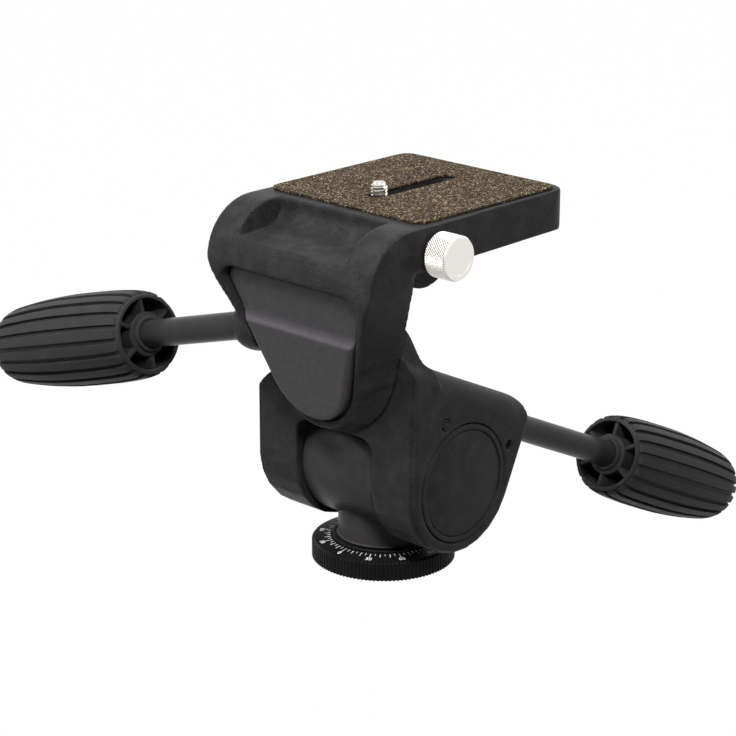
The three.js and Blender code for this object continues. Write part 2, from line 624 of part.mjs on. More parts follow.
// What the drum and its neck sweep as the yoke tilts from level to both stops
function drumRoom() {
  const cavity = placed(rod(DRUM_RADIUS + CAVITY_GAP, -SLOT_HALF, SLOT_HALF, WIDE_STEPS),
    move(0, 0, TILT_HEIGHT).multiply(toX));
  const reach = 3 * YOKE_RADIUS;
  const corner = SLOT_HALF - SLOT_CORNER;
  const windowShape = new THREE.Shape()
    .moveTo(-SLOT_HALF, TILT_HEIGHT - reach)
    .lineTo(SLOT_HALF, TILT_HEIGHT - reach)
    .absarc(corner, TILT_HEIGHT + SLOT_TOP - SLOT_CORNER, SLOT_CORNER, 0, Math.PI / 2, false)
    .absarc(-corner, TILT_HEIGHT + SLOT_TOP - SLOT_CORNER, SLOT_CORNER, Math.PI / 2, Math.PI, false)
    .lineTo(-SLOT_HALF, TILT_HEIGHT - reach);
  const neckSide = NECK_RADIUS + NECK_GAP;
  const sideY = neckSide * Math.cos(BACK_TILT);
  const sideZ = TILT_HEIGHT + neckSide * Math.sin(BACK_TILT);
  const sweep = new THREE.Shape()
    .moveTo(-CAVITY_GAP, TILT_HEIGHT)
    .lineTo(-CAVITY_GAP, TILT_HEIGHT - reach)
    .lineTo(sideY + reach * Math.sin(BACK_TILT), TILT_HEIGHT - reach)
    .lineTo(sideY + reach * Math.sin(BACK_TILT), sideZ - reach * Math.cos(BACK_TILT))
    .lineTo(sideY, sideZ)
    .lineTo(-CAVITY_GAP, TILT_HEIGHT);
  return allOf([cavity, prismY(windowShape, -reach, 0), prismX(sweep, -SLOT_HALF, SLOT_HALF)]);
}

const coverFloor = YOKE_HALF - COVER_RECESS;

// What is bored into one cheek, in a frame whose Z runs out along the tilt axis
function cheekBores() {
  const recess = rod(COVER_RADIUS + CLEAR, coverFloor, YOKE_HALF + OVERRUN, WIDE_STEPS);
  const nutRoom = rod(AXLE_NUT_RADIUS + CLEAR, AXLE_END - AXLE_NUT_HEIGHT - CLEAR, coverFloor + OVERRUN);
  const bore = rod(AXLE_RADIUS + CLEAR, 0, coverFloor);
  const washerRoom = rod(TILT_WASHER_RADIUS + CLEAR, 0, SLOT_HALF + TILT_WASHER_HEIGHT + CLEAR, ROUND_STEPS);
  return allOf([recess, nutRoom, bore, washerRoom]);
}

function coverCap() {
  const low = coverFloor + CLEAR;
  const face = YOKE_HALF;
  const groove = COVER_RADIUS - COVER_LIP;
  return turned([
    [0, low], [COVER_RADIUS, low], [COVER_RADIUS, face - COVER_ROUND], [COVER_RADIUS - COVER_ROUND, face],
    [groove + COVER_ROUND, face], [groove, face - COVER_GROOVE - COVER_SINK],
    [groove - COVER_GROOVE, face - COVER_SINK], [0, face - COVER_SINK],
  ], WIDE_STEPS);
}

function buildYoke() {
  const body = prismX(yokeSide(), -YOKE_HALF, YOKE_HALF, YOKE_EDGE).intersect(yokeRoof()).subtract(leftCut());
  const head = prismY(yokeHead(), -YOKE_FRONT, HUMP_THICKNESS - YOKE_FRONT, YOKE_EDGE);
  const pinPlace = move(0, -PIN_CAP_BACK, PIN_CAP_HEIGHT + TILT_HEIGHT).multiply(toX);
  const setPlace = move(0, SET_SCREW_OUT, SET_SCREW_HEIGHT + TILT_HEIGHT).multiply(toX);
  const right = move(0, 0, TILT_HEIGHT).multiply(toX);
  const left = move(0, 0, TILT_HEIGHT).multiply(toMinusX);
  const pivotPlace = move(0, 0, PIVOT_HEIGHT).multiply(toMinusY);

  const axleFoot = YOKE_FRONT - SIDE_AXLE_DEPTH;
  const pinBottom = YOKE_HALF - PIN_CAP_LENGTH;
  const setTop = YOKE_HALF - SET_SCREW_SINK;
  const boreStart = -REAR_COTTER_INNER - 2 * CLEAR;
  const handleBore = rod(REAR_COTTER_RADIUS + CLEAR, boreStart, YOKE_RADIUS + OVERRUN, ROUND_STEPS);
  const setBottom = setTop - SET_SCREW_LENGTH;
  const bores = allOf([
    placed(cheekBores(), right),
    placed(cheekBores(), left),
    placed(rod(PIN_CAP_RADIUS + CLEAR, pinBottom - CLEAR, YOKE_HALF + OVERRUN), pinPlace),
    placed(rod(SET_SCREW_RADIUS + CLEAR, setBottom - CLEAR, YOKE_HALF + OVERRUN), setPlace),
    placed(handleBore, rearRodFrame),
    placed(rod(SIDE_AXLE_RADIUS + CLEAR, axleFoot - CLEAR, YOKE_FRONT + OVERRUN), pivotPlace),
  ]);
  show('yoke_casting', allOf([body, head, headFillet()]).subtract(drumRoom()).subtract(bores), castBlack);

  show('side_cover_right', placed(coverCap(), right), satinBlack);
  show('side_cover_left', placed(coverCap(), left), satinBlack);
  const washer = tube(TILT_WASHER_RADIUS, AXLE_RADIUS + CLEAR, SLOT_HALF, SLOT_HALF + TILT_WASHER_HEIGHT);
  show('tilt_washer_right', placed(washer, right), brass);
  show('tilt_washer_left', placed(washer, left), brass);
  const axleHead = rod(AXLE_NUT_RADIUS, -AXLE_END, AXLE_NUT_HEIGHT - AXLE_END, ROUND_STEPS);
  show('tilt_axle', placed(rod(AXLE_RADIUS, -AXLE_END, AXLE_END, ROUND_STEPS).add(axleHead), right), steel);
  const nutLow = AXLE_END - AXLE_NUT_HEIGHT;
  const nutBore = rod(AXLE_RADIUS + CLEAR, nutLow - OVERRUN, AXLE_END + OVERRUN, ROUND_STEPS);
  const nut = rod(AXLE_NUT_RADIUS, nutLow, AXLE_END, HEX_STEPS).subtract(nutBore);
  show('tilt_axle_nut', placed(nut, right), steel);

  const pinCap = turned([
    [0, pinBottom], [PIN_CAP_RADIUS, pinBottom], [PIN_CAP_RADIUS, YOKE_HALF],
    [PIN_CAP_RADIUS - PIN_CAP_DISH, YOKE_HALF], [PIN_CAP_RADIUS - 2 * PIN_CAP_DISH, YOKE_HALF - PIN_CAP_DISH],
    [0, YOKE_HALF - PIN_CAP_DISH],
  ], SMALL_STEPS);
  show('guide_pin_cap', placed(pinCap, pinPlace), satinBlack);
  const socket = rod(SET_SCREW_SOCKET, setTop - SET_SCREW_LENGTH / 2, setTop + OVERRUN, HEX_STEPS);
  const setScrew = rod(SET_SCREW_RADIUS, setBottom, setTop).subtract(socket);
  show('set_screw', placed(setScrew, setPlace), steel);

  const glandEnd = YOKE_RADIUS - CLEAR;
  show('rear_gland', placed(tube(GLAND_RADIUS, ROD_RADIUS + CLEAR, glandEnd - GLAND_LENGTH, glandEnd),
    rearRodFrame), mouldedBlack);

  // The side tilt axle is let into the yoke's head and carries the bracket on a friction disc
  const discNear = YOKE_FRONT + CLEAR;
  const discFar = discNear + discHeight;
  const nutFar = plateFloorAt(PIVOT_HEIGHT - SIDE_NUT_RADIUS) - CLEAR;
  show('side_tilt_axle', placed(rod(SIDE_AXLE_RADIUS, axleFoot, nutFar, ROUND_STEPS), pivotPlace), steel);
  const disc = tube(DISC_RADIUS, SIDE_AXLE_RADIUS + CLEAR, discNear, discFar, WIDE_STEPS);
  show('side_friction_disc', placed(disc, pivotPlace), steel);
  const sideNutBore = rod(SIDE_AXLE_RADIUS + CLEAR, YOKE_FRONT, nutFar + OVERRUN, ROUND_STEPS);
  show('side_tilt_nut', placed(rod(SIDE_NUT_RADIUS, nutFar - sideNutHeight, nutFar, HEX_STEPS)
    .subtract(sideNutBore), pivotPlace), steel);
}

// The depth in front of the pan axis of the floor that the front plate lies on, at a height. The floor
// keeps a wall in front of the side rod's bore.
function plateFloorAt(height) {
  const boreFront = SIDE_ROD_FRONT + ROD_RADIUS + CLEAR;
  const boreFoot = PIVOT_HEIGHT + SIDE_OFFSET - ROD_RADIUS;
  return boreFront + PLATE_BORE_WALL + (height - boreFoot) * Math.tan(PLATE_SLOPE);
}

// The plate's face at the crease, and the pieces that share the room between the yoke and the plate's floor
const plateFace = plateFloorAt(PLATE_CREASE) + (PLATE_THICKNESS + CLEAR) / Math.cos(PLATE_SLOPE);
const stackRoom = plateFloorAt(PIVOT_HEIGHT - SIDE_NUT_RADIUS) - YOKE_FRONT - 4 * CLEAR;
const discHeight = DISC_SHARE * stackRoom;
const sideNutHeight = SIDE_NUT_SHARE * stackRoom;

// A cotter that its handle draws along, hollowed to the round that it clamps
function cotter(radius, inner, outer, scallop) {
  const thread = rod(STUD_RADIUS + CLEAR, outer - STUD_LENGTH - 2 * CLEAR, outer + OVERRUN);
  return rod(radius, -inner, outer, ROUND_STEPS).subtract(thread).subtract(scallop);
}

function buildCotters() {
  const drumRound = placed(rod(DRUM_RADIUS + SCALLOP_GAP, -SLOT_HALF, SLOT_HALF, WIDE_STEPS),
    move(0, REAR_OFFSET, 0).multiply(toX));
  show('tilt_brake_cotter', placed(
    cotter(REAR_COTTER_RADIUS, REAR_COTTER_INNER, REAR_COTTER_OUTER, drumRound), rearRodFrame), brass);
  const discFront = SIDE_ROD_FRONT - YOKE_FRONT - discHeight - 2 * CLEAR;
  const discRound = placed(rod(DISC_RADIUS + SCALLOP_GAP, -SIDE_ROD_FRONT, -discFront, WIDE_STEPS),
    move(-SIDE_OFFSET, 0, 0).multiply(toMinusY));
  show('side_brake_cotter', placed(
    cotter(ROD_RADIUS, SIDE_COTTER_INNER, SIDE_COTTER_OUTER, discRound), sideRodFrame), brass);
}

// The grip's skin: rings of ribs along a barrel shaped profile
function gripSkin() {
  const corners = RIB_CORNER_SHARES.length;
  return skin(GRIP_STATION_SHARES.map((share, row) => (
    Array.from({ length: RIB_COUNT * corners }, (_, i) => {
      const turn = (Math.floor(i / corners) + RIB_CORNER_SHARES[i % corners]) / RIB_COUNT;
      const depth = RIB_DEPTH * GRIP_RIB_SHARES[row] * (1 - RIB_LEVEL_SHARES[i % corners]);
      const radius = GRIP_RADIUS * GRIP_RADIUS_SHARES[row] - depth;
      return pointAt(radius, turn * 2 * Math.PI, share * GRIP_LENGTH);
    })
  )));
}

const coreOuter = ROD_RADIUS + CLEAR + GRIP_CORE_WALL;

// The grip with its open end: a rim and a hub joined by spokes
function grip() {
  const rim = GRIP_RADIUS * GRIP_RADIUS_SHARES[0] - GRIP_RIM;
  const spokes = Array.from({ length: SPOKE_COUNT }, (_, i) => placed(
    box(new THREE.Vector3(0, -SPOKE_WIDTH / 2, SPOKE_SINK),
      new THREE.Vector3(GRIP_RADIUS, SPOKE_WIDTH / 2, GRIP_POCKET_DEPTH + OVERRUN)),
    new THREE.Matrix4().makeRotationZ(((i + 1 / 2) * 2 * Math.PI) / SPOKE_COUNT)));
  const pocket = tube(rim, GRIP_HUB_RADIUS, -OVERRUN, GRIP_POCKET_DEPTH).subtract(allOf(spokes));
  const bore = rod(coreOuter + CLEAR, -OVERRUN, GRIP_LENGTH + OVERRUN, ROUND_STEPS);
  return gripSkin().subtract(pocket).subtract(bore);
}

// One handle in its own frame, with the foot of its clamp at zero
function buildHandle(name, frame, rodStart, gripStart) {
  const handle = new THREE.Group();
  handle.applyMatrix4(frame);
  model.add(handle);
  const stud = rod(STUD_RADIUS, rodStart - STUD_LENGTH, rodStart + CLEAR);
  const shaft = rod(ROD_RADIUS, rodStart, gripStart + ROD_IN_GRIP, ROUND_STEPS);
  show(`${name}_rod`, shaft.add(stud), satinBlack, handle);
  const atGrip = move(0, 0, gripStart);
  const coreRoom = rod(ROD_RADIUS + CLEAR, -OVERRUN, CORE_LENGTH - CORE_END, ROUND_STEPS);
  const core = rod(coreOuter, CLEAR, CORE_LENGTH, ROUND_STEPS).subtract(coreRoom);
  show(`${name}_grip`, placed(grip(), atGrip), gripRubber, handle);
  show(`${name}_grip_core`, placed(core, atGrip), mouldedBlack, handle);
  const cap = rod(coreOuter, GRIP_LENGTH - CAP_LENGTH, GRIP_LENGTH, ROUND_STEPS);
  show(`${name}_grip_cap`, placed(cap, atGrip), mouldedBlack, handle);
}

// The bracket seen from the side: table, hump and arm
function bracketSide() {
  const archY = -HUMP_ARC_PLACE;
  const archZ = TABLE_TOP - HUMP_ARC_RADIUS;
  const brow = archY - HUMP_ARC_RADIUS * Math.cos(ARM_SLOPE);
  const browZ = archZ - HUMP_ARC_RADIUS * Math.sin(ARM_SLOPE);
  const footZ = browZ - (-ARM_FRONT_FOOT - brow) / Math.tan(ARM_SLOPE);
  const rear = -YOKE_FRONT - ARM_GAP;
  return new THREE.Shape()
    .moveTo(TABLE_REAR, TABLE_TOP)
    .absarc(archY, archZ, HUMP_ARC_RADIUS, Math.PI / 2, Math.PI + ARM_SLOPE, false)
    .lineTo(-ARM_FRONT_FOOT, footZ)
    .lineTo(-ARM_FRONT_FOOT, ARM_BOTTOM)
    .lineTo(rear, ARM_BOTTOM)
    .lineTo(rear, SKIRT_FRONT)
    .absarc(TABLE_REAR - SKIRT_CORNER, SKIRT_REAR + SKIRT_CORNER, SKIRT_CORNER, -Math.PI / 2, 0, false)
    .lineTo(TABLE_REAR, TABLE_TOP);
}

// Half of the arm's outline at one of its faces: a round tip that widens upwards
function armOutline(radius, centre, spread) {
  const points = [];
  const steps = 2 * ARC_STEPS;
  for (let i = 0; i <= steps; i += 1) {
    const angle = -Math.PI / 2 + (i * (Math.PI / 2 - spread)) / steps;
    points.push([radius * Math.cos(angle), centre + radius * Math.sin(angle)]);
  }
  const [x, z] = points[steps];
  for (let i = 1; i <= ARM_SIDE_STEPS; i += 1) {
    const rise = ((ARM_BLEND_TOP - z) * i) / ARM_SIDE_STEPS;
    points.push([x + rise * Math.tan(spread), z + rise]);
  }
  points.push([BRACKET_HALF, ARM_SHOULDER], [ARM_CUT_HALF, ARM_CUT_TOP]);
  return points;
}

// The arm narrows to its tip, and its sides run in from the back face to the front face. In front of the
// front face they run straight on.
function armCut() {
  const rearFace = YOKE_FRONT + ARM_GAP;
  const front = armOutline(ARM_FRONT_RADIUS, ARM_FRONT_CENTRE, ARM_FRONT_SPREAD);
  const rear = armOutline(ARM_REAR_RADIUS, ARM_REAR_CENTRE, ARM_REAR_SPREAD);
  const archZ = TABLE_TOP - HUMP_ARC_RADIUS;
  const faceAt = (z) => Math.max(ARM_FRONT_FOOT,
    HUMP_ARC_PLACE + HUMP_ARC_RADIUS - Math.max(0, archZ - z) * Math.tan(ARM_SLOPE));
  const ringAt = (depthFor) => {
    const half = front.map(([x, z], i) => {
      const share = (depthFor(z) - rearFace) / (faceAt(z) - rearFace);
      const [rearX, rearZ] = rear[i];
      return new THREE.Vector3(rearX + (x - rearX) * share, -depthFor(z), rearZ + (z - rearZ) * share);
    });
    const mirrored = half.slice(1).reverse().map(({ x, y, z }) => new THREE.Vector3(-x, y, z));
    return [...half, ...mirrored];
  };
  const near = ringAt((z) => faceAt(z) + OVERRUN);
  const cap = near.map(({ x, z }) => new THREE.Vector3(x, -ARM_CUT_FRONT, z));
  return skin([ringAt(() => YOKE_FRONT - CLEAR), near, cap]);
}

// Half the bracket's width at a place in front of the pan axis: it tapers evenly from the hump to the rear
function bracketHalfAt(place) {
  return TABLE_HALF + (HUMP_WIDER * (place + TABLE_REAR)) / (HUMP_ARC_PLACE + HUMP_ARC_RADIUS + TABLE_REAR);
}

function tapered(manifold) {
  return manifold.warp((vertex) => {
    vertex[0] *= bracketHalfAt(-vertex[1]) / BRACKET_HALF;
  });
}

function bracketPlan() {
  const corner = bracketHalfAt(TABLE_CORNER - TABLE_REAR) - TABLE_CORNER;
  return new THREE.Shape()
    .moveTo(-ARM_CUT_HALF, -ARM_CUT_FRONT)
    .lineTo(ARM_CUT_HALF, -ARM_CUT_FRONT)
    .absarc(corner, TABLE_REAR - TABLE_CORNER, TABLE_CORNER, 0, Math.PI / 2, false)
    .absarc(-corner, TABLE_REAR - TABLE_CORNER, TABLE_CORNER, Math.PI / 2, Math.PI, false)
    .lineTo(-ARM_CUT_HALF, -ARM_CUT_FRONT);
}

// The concave corner between the arm's back and the table's right half. The left half stays square,
// because it passes down the yoke's cheek when the camera is turned upright.
function armFillet() {
  const rear = -YOKE_FRONT - ARM_GAP;
  const shape = new THREE.Shape()
    .moveTo(rear - CLEAR, SKIRT_FRONT + CLEAR)
    .lineTo(rear - CLEAR, SKIRT_FRONT - FILLET_RADIUS)
    .lineTo(rear, SKIRT_FRONT - FILLET_RADIUS)
    .absarc(rear + FILLET_RADIUS, SKIRT_FRONT - FILLET_RADIUS, FILLET_RADIUS, Math.PI, Math.PI / 2, true)
    .lineTo(rear + FILLET_RADIUS, SKIRT_FRONT + CLEAR)
    .lineTo(rear - CLEAR, SKIRT_FRONT + CLEAR);
  return prismX(shape, FILLET_START, TABLE_HALF - TABLE_EDGE);
}

// The hollow in the hump: a stepped back, a swept floor and an open front
function humpRecess() {
  const back = -RECESS_BACK;
  const shape = new THREE.Shape()
    .moveTo(back, TABLE_TOP + OVERRUN)
    .lineTo(back, TABLE_TOP - RECESS_STEP)
    .quadraticCurveTo(back - RECESS_STEP / 2, RECESS_FLOOR, back - RECESS_SWEEP, RECESS_FLOOR)
    .lineTo(-HUMP_ARC_PLACE - HUMP_ARC_RADIUS + HUMP_SILL, RECESS_FLOOR - RECESS_FALL)
    .lineTo(-HUMP_ARC_PLACE - HUMP_ARC_RADIUS - OVERRUN, RECESS_FLOOR - RECESS_FALL - HUMP_SILL)
    .lineTo(-HUMP_ARC_PLACE - HUMP_ARC_RADIUS - OVERRUN, TABLE_TOP + OVERRUN)
    .lineTo(back, TABLE_TOP + OVERRUN);
  return prismX(shape, -RECESS_HALF, RECESS_HALF);
}

function slotOutline(width) {
  const radius = width / 2;
  return new THREE.Shape()
    .moveTo(radius, radius - SLOT_FRONT)
    .lineTo(radius, SLOT_REAR - radius)
    .absarc(0, SLOT_REAR - radius, radius, 0, Math.PI, false)
    .lineTo(-radius, radius - SLOT_FRONT)
    .absarc(0, radius - SLOT_FRONT, radius, Math.PI, 2 * Math.PI, false);
}

// The front plate's outline in its own sloping plane, measured from the crease, grown by a gap
function plateOutline(gap) {
  const stretch = 1 / Math.cos(PLATE_SLOPE);
  const up = (height) => (height - PLATE_CREASE) * stretch;
  const radius = PLATE_RADIUS + gap;
  const top = up(PLATE_TOP) + gap;
  const tipX = radius * Math.cos(PLATE_SPREAD);
  const tipZ = up(PLATE_CENTRE) - radius * Math.sin(PLATE_SPREAD);
  const topX = tipX + (top - tipZ) * Math.tan(PLATE_SPREAD);
  const corner = PLATE_CORNER + gap;
  const inset = corner * Math.tan(Math.PI / 4 - PLATE_SPREAD / 2 + PLATE_SPREAD);
  const centreX = topX - inset;
  return new THREE.Shape()
    .absarc(0, up(PLATE_CENTRE), radius, Math.PI + PLATE_SPREAD, 2 * Math.PI - PLATE_SPREAD, false)
    .absarc(centreX, top - corner, corner, -PLATE_SPREAD, Math.PI / 2, false)
    .absarc(-centreX, top - corner, corner, Math.PI / 2, Math.PI + PLATE_SPREAD, false);
}

// The plate's frame: X across, Y up the slope, Z out of the face, from the middle of the crease
const plateFrame = move(0, -plateFace, PLATE_CREASE)
  .multiply(new THREE.Matrix4().makeRotationX(Math.PI / 2 + PLATE_SLOPE));

function platePocket() {
  const room = extrude(plateOutline(PLATE_GAP), PLATE_THICKNESS + CLEAR + BRACKET_HALF);
  return solid(room, plateFrame.clone().multiply(move(0, 0, -PLATE_THICKNESS - CLEAR)));
}

// The plate: a panel below the crease, a lower panel above it, and the cove that joins them
function frontPlate() {
  const wide = BRACKET_HALF;
  const low = solid(extrude(plateOutline(0), PLATE_THICKNESS, PLATE_EDGE), move(0, 0, -PLATE_THICKNESS));
  const below = box(new THREE.Vector3(-wide, -wide, -wide), new THREE.Vector3(wide, 0, wide));
  const high = solid(extrude(plateOutline(0), PLATE_THICKNESS - PLATE_SINK, PLATE_EDGE / 2),
    move(0, 0, -PLATE_THICKNESS));
  const coveShape = new THREE.Shape()
    .moveTo(-CLEAR, -PLATE_THICKNESS)
    .lineTo(PLATE_COVE, -PLATE_THICKNESS)
    .lineTo(PLATE_COVE, -PLATE_SINK)
    .quadraticCurveTo(PLATE_COVE / 4, -PLATE_SINK, 0, 0)
    .lineTo(-CLEAR, 0)
    .lineTo(-CLEAR, -PLATE_THICKNESS);
  const cove = prismX(coveShape, -wide, wide).intersect(low);
  return placed(allOf([low.intersect(below), high, cove]), plateFrame);
}

// The boss that the side rod comes out of, in the rod's frame: its outer end is rounded down to a lip
function sideBoss() {
  const profile = [[0, SIDE_BOSS_START], [SIDE_BOSS_RADIUS, SIDE_BOSS_START]];
  for (let i = 0; i <= ARC_STEPS; i += 1) {
    const angle = (i * Math.PI) / (2 * ARC_STEPS);
    profile.push([
      SIDE_BOSS_LIP + (SIDE_BOSS_RADIUS - SIDE_BOSS_LIP) * Math.cos(angle),
      SIDE_BOSS_END - SIDE_BOSS_NOSE + SIDE_BOSS_NOSE * Math.sin(angle),
    ]);
  }
  return turned([...profile, [0, SIDE_BOSS_END]]);
}

// Where the knob turns, and the half width of the table's hollow
const knobPlace = move(0, -KNOB_PLACE, TABLE_TOP - KNOB_DROP).multiply(toX);
const knobStart = bracketHalfAt(KNOB_PLACE + KNOB_RADIUS) + CLEAR;
const inner = TABLE_HALF - TABLE_WALL;

function buildBracket() {
  const arm = -YOKE_FRONT - ARM_GAP;
  const whole = new THREE.Vector3(ARM_CUT_HALF, ARM_CUT_FRONT + TABLE_REAR, ARM_CUT_TOP);
  const tableZone = box(new THREE.Vector3(-whole.x, arm + CLEAR, ARM_BOTTOM - OVERRUN), whole);
  const form = tapered(prismX(bracketSide(), -BRACKET_HALF, BRACKET_HALF, TABLE_EDGE))
    .intersect(armCut().add(tableZone))
    .intersect(prismZ(bracketPlan(), ARM_BOTTOM - OVERRUN, ARM_CUT_TOP));
  const rodBoss = placed(sideBoss(), sideRodFrame)
    .subtract(box(new THREE.Vector3(-whole.y, arm, 0), new THREE.Vector3(whole.y, whole.y, whole.z)));

  const roofUnder = TABLE_TOP - TABLE_ROOF;
  const hollow = box(new THREE.Vector3(-inner, arm + TABLE_WALL, ARM_BOTTOM),
    new THREE.Vector3(inner, TABLE_REAR - TABLE_WALL, roofUnder));
  const knobBoss = placed(rod(KNOB_BOSS_RADIUS, KNOB_BOSS_START, inner + CLEAR, ROUND_STEPS), knobPlace)
    .intersect(box(new THREE.Vector3(0, arm - CLEAR, 0),
      new THREE.Vector3(whole.x, whole.y, TABLE_TOP - CLEAR)));
  const railInner = SLIDER_HALF + CLEAR;
  const rails = [-1, 1].flatMap((side) => {
    const near = side * railInner;
    const far = side * (railInner + RAIL_WIDTH);
    const low = Math.min(near, far);
    const high = Math.max(near, far);
    const roof = roofUnder + CLEAR;
    return [
      box(new THREE.Vector3(low, -RAIL_FRONT - CLEAR, roofUnder - RAIL_HEIGHT),
        new THREE.Vector3(high, RAIL_REAR, roof)),
      box(new THREE.Vector3(low, -RAIL_FRONT - LUG_LENGTH, roofUnder - LUG_HEIGHT),
        new THREE.Vector3(high, -RAIL_FRONT, roof)),
    ];
  });

  const discFar = YOKE_FRONT + discHeight + 2 * CLEAR;
  const pivotPlace = move(0, 0, PIVOT_HEIGHT).multiply(toMinusY);
  const floor = plateFloorAt(PIVOT_HEIGHT);
  const nutNear = plateFloorAt(PIVOT_HEIGHT - SIDE_NUT_RADIUS) - sideNutHeight - 2 * CLEAR;
  const bossEnd = SIDE_BOSS_END + OVERRUN;
  const cuts = allOf([
    platePocket(),
    humpRecess(),
    prismZ(slotOutline(SLOT_WIDTH), roofUnder - OVERRUN, TABLE_TOP + OVERRUN),
    placed(rod(DISC_RADIUS + CLEAR, YOKE_FRONT - OVERRUN, discFar, WIDE_STEPS), pivotPlace),
    placed(rod(SIDE_AXLE_RADIUS + CLEAR, YOKE_FRONT, floor + OVERRUN), pivotPlace),
    placed(rod(SIDE_NUT_RADIUS + CLEAR, nutNear, floor + OVERRUN), pivotPlace),
    placed(rod(ROD_RADIUS + CLEAR, -SIDE_COTTER_INNER - 2 * CLEAR, bossEnd), sideRodFrame),
    placed(rod(SIDE_GLAND_RADIUS + CLEAR, SIDE_BOSS_END - GLAND_LENGTH, bossEnd, ROUND_STEPS), sideRodFrame),
    placed(rod(KNOB_STUD_RADIUS + CLEAR, -KNOB_STUD_END - CLEAR, BRACKET_HALF + OVERRUN), knobPlace),
  ]);
  show('bracket_casting', allOf([form.subtract(hollow), rodBoss, armFillet(), knobBoss, ...rails])
    .subtract(cuts), castBlack);
  show('front_plate', frontPlate(), mouldedBlack);
  const glandStart = SIDE_BOSS_END - GLAND_LENGTH + CLEAR;
  const gland = tube(SIDE_GLAND_RADIUS, ROD_RADIUS + CLEAR, glandStart, glandStart + GLAND_LENGTH);
  show('side_gland', placed(gland, sideRodFrame), mouldedBlack);

  const matX = TABLE_HALF - MAT_BORDER - MAT_CORNER;
  const mat = new THREE.Shape()
    .absarc(matX, MAT_CORNER - MAT_FRONT, MAT_CORNER, -Math.PI / 2, 0, false)
    .absarc(matX, MAT_REAR - MAT_CORNER, MAT_CORNER, 0, Math.PI / 2, false)
    .absarc(-matX, MAT_REAR - MAT_CORNER, MAT_CORNER, Math.PI / 2, Math.PI, false)
    .absarc(-matX, MAT_CORNER - MAT_FRONT, MAT_CORNER, Math.PI, (3 / 2) * Math.PI, false);
  mat.holes.push(new THREE.Path(slotOutline(SLOT_WIDTH).getPoints(ARC_STEPS)));
  show('platform_mat', prismZ(mat, TABLE_TOP + MAT_GAP, TABLE_TOP + MAT_GAP + MAT_HEIGHT), corkBrown);
}

// The camera screw stands in the platform's slot. Its slider runs between two rails under the platform.
function buildCameraScrew() {
  const roofUnder = TABLE_TOP - TABLE_ROOF;
  const sliderTop = roofUnder - CLEAR;
  const sliderLow = sliderTop - SLIDER_HEIGHT;
  const wheelTop = sliderLow - CLEAR;
  const wheelLow = wheelTop - WHEEL_HEIGHT;
  const top = TABLE_TOP + MAT_GAP + MAT_HEIGHT + SCREW_STANDS;
  const threadLow = top - SCREW_TURNS * SCREW_PITCH;
  const profile = [[0, wheelLow], [SCREW_RADIUS, wheelLow], [SCREW_RADIUS, threadLow]];
  for (let i = SCREW_TURNS; i > 1; i -= 1) {
    const base = top - i * SCREW_PITCH;
    profile.push([SCREW_RADIUS - SCREW_THREAD_DEPTH, base + SCREW_PITCH / 2]);
    profile.push([SCREW_RADIUS, base + SCREW_PITCH]);
  }
  profile.push([SCREW_RADIUS, top - SCREW_CHAMFER], [SCREW_RADIUS - SCREW_CHAMFER, top], [0, top]);
  const place = move(0, -SCREW_PLACE, 0);
  show('camera_screw', placed(turned(profile, SMALL_STEPS), place), steel);
  const bore = rod(SCREW_RADIUS + CLEAR, wheelLow - OVERRUN, top);
  const half = SLIDER_LENGTH / 2;
  const slider = box(new THREE.Vector3(-SLIDER_HALF, -half, sliderLow),
    new THREE.Vector3(SLIDER_HALF, half, sliderTop));
  show('screw_slider', placed(slider.subtract(bore), place), steel);
  const wheel = prismZ(knurledOutline(WHEEL_RADIUS, WHEEL_RIB_DEPTH, WHEEL_RIBS), wheelLow, wheelTop);
  show('screw_wheel', placed(wheel.subtract(bore), place), mouldedBlack);
}

// The knob's skin is a grid whose corners stand out and in by turns, which makes a diamond knurl
function knobSkin() {
  const start = KNOB_BAND;
  const end = KNOB_LENGTH - KNOB_CHAMFER - KNOB_BAND;
  const plain = KNOB_RADIUS - KNOB_CHAMFER;
  const band = KNOB_RADIUS - KNOB_TOOTH;
  const rows = Array.from({ length: KNOB_ROWS + 1 }, (_, i) => (
    { radius: KNOB_RADIUS, height: start + ((end - start) * i) / KNOB_ROWS, tooth: KNOB_TOOTH }));
  const stations = [
    { radius: plain, height: 0, tooth: 0 },
    { radius: band, height: start / 2, tooth: 0 },
    ...rows,
    { radius: band, height: KNOB_LENGTH - KNOB_CHAMFER, tooth: 0 },
    { radius: plain, height: KNOB_LENGTH, tooth: 0 },
  ];
  const isLow = (row, i) => (row + i) % 2 === 0;
  return skin(stations.map(({ radius, height, tooth }, row) => (
    Array.from({ length: KNOB_TEETH }, (_, i) => (
      pointAt(isLow(row, i) ? radius - tooth : radius, (i * 2 * Math.PI) / KNOB_TEETH, height)))
  )), isLow);
}

function buildKnob() {
  const studEnd = knobStart + KNOB_STUD_DEPTH;
  const socket = rod(KNOB_STUD_RADIUS + CLEAR, knobStart - OVERRUN, studEnd + CLEAR);
  const knob = placed(knobSkin(), move(0, 0, knobStart)).subtract(socket);
  show('lock_knob', placed(knob, knobPlace), silver);
  show('lock_stud', placed(rod(KNOB_STUD_RADIUS, -KNOB_STUD_END, studEnd), knobPlace), steel);
}

buildBase();
buildDrum();
buildYoke();
buildCotters();
buildHandle('rear', rearRodFrame, REAR_ROD_START, REAR_GRIP_START);
buildHandle('side', sideRodFrame, SIDE_ROD_START, SIDE_GRIP_START);
buildBracket();
buildCameraScrew();
buildKnob();

export default model;
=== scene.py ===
"""Looks of a three way pan and tilt head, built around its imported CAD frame.

Each sub-assembly is a class that models its own pieces, dresses them and sets them riding on the
frame's bodies. Sizes are in millimetres, and MM turns them into Blender's metres.
"""

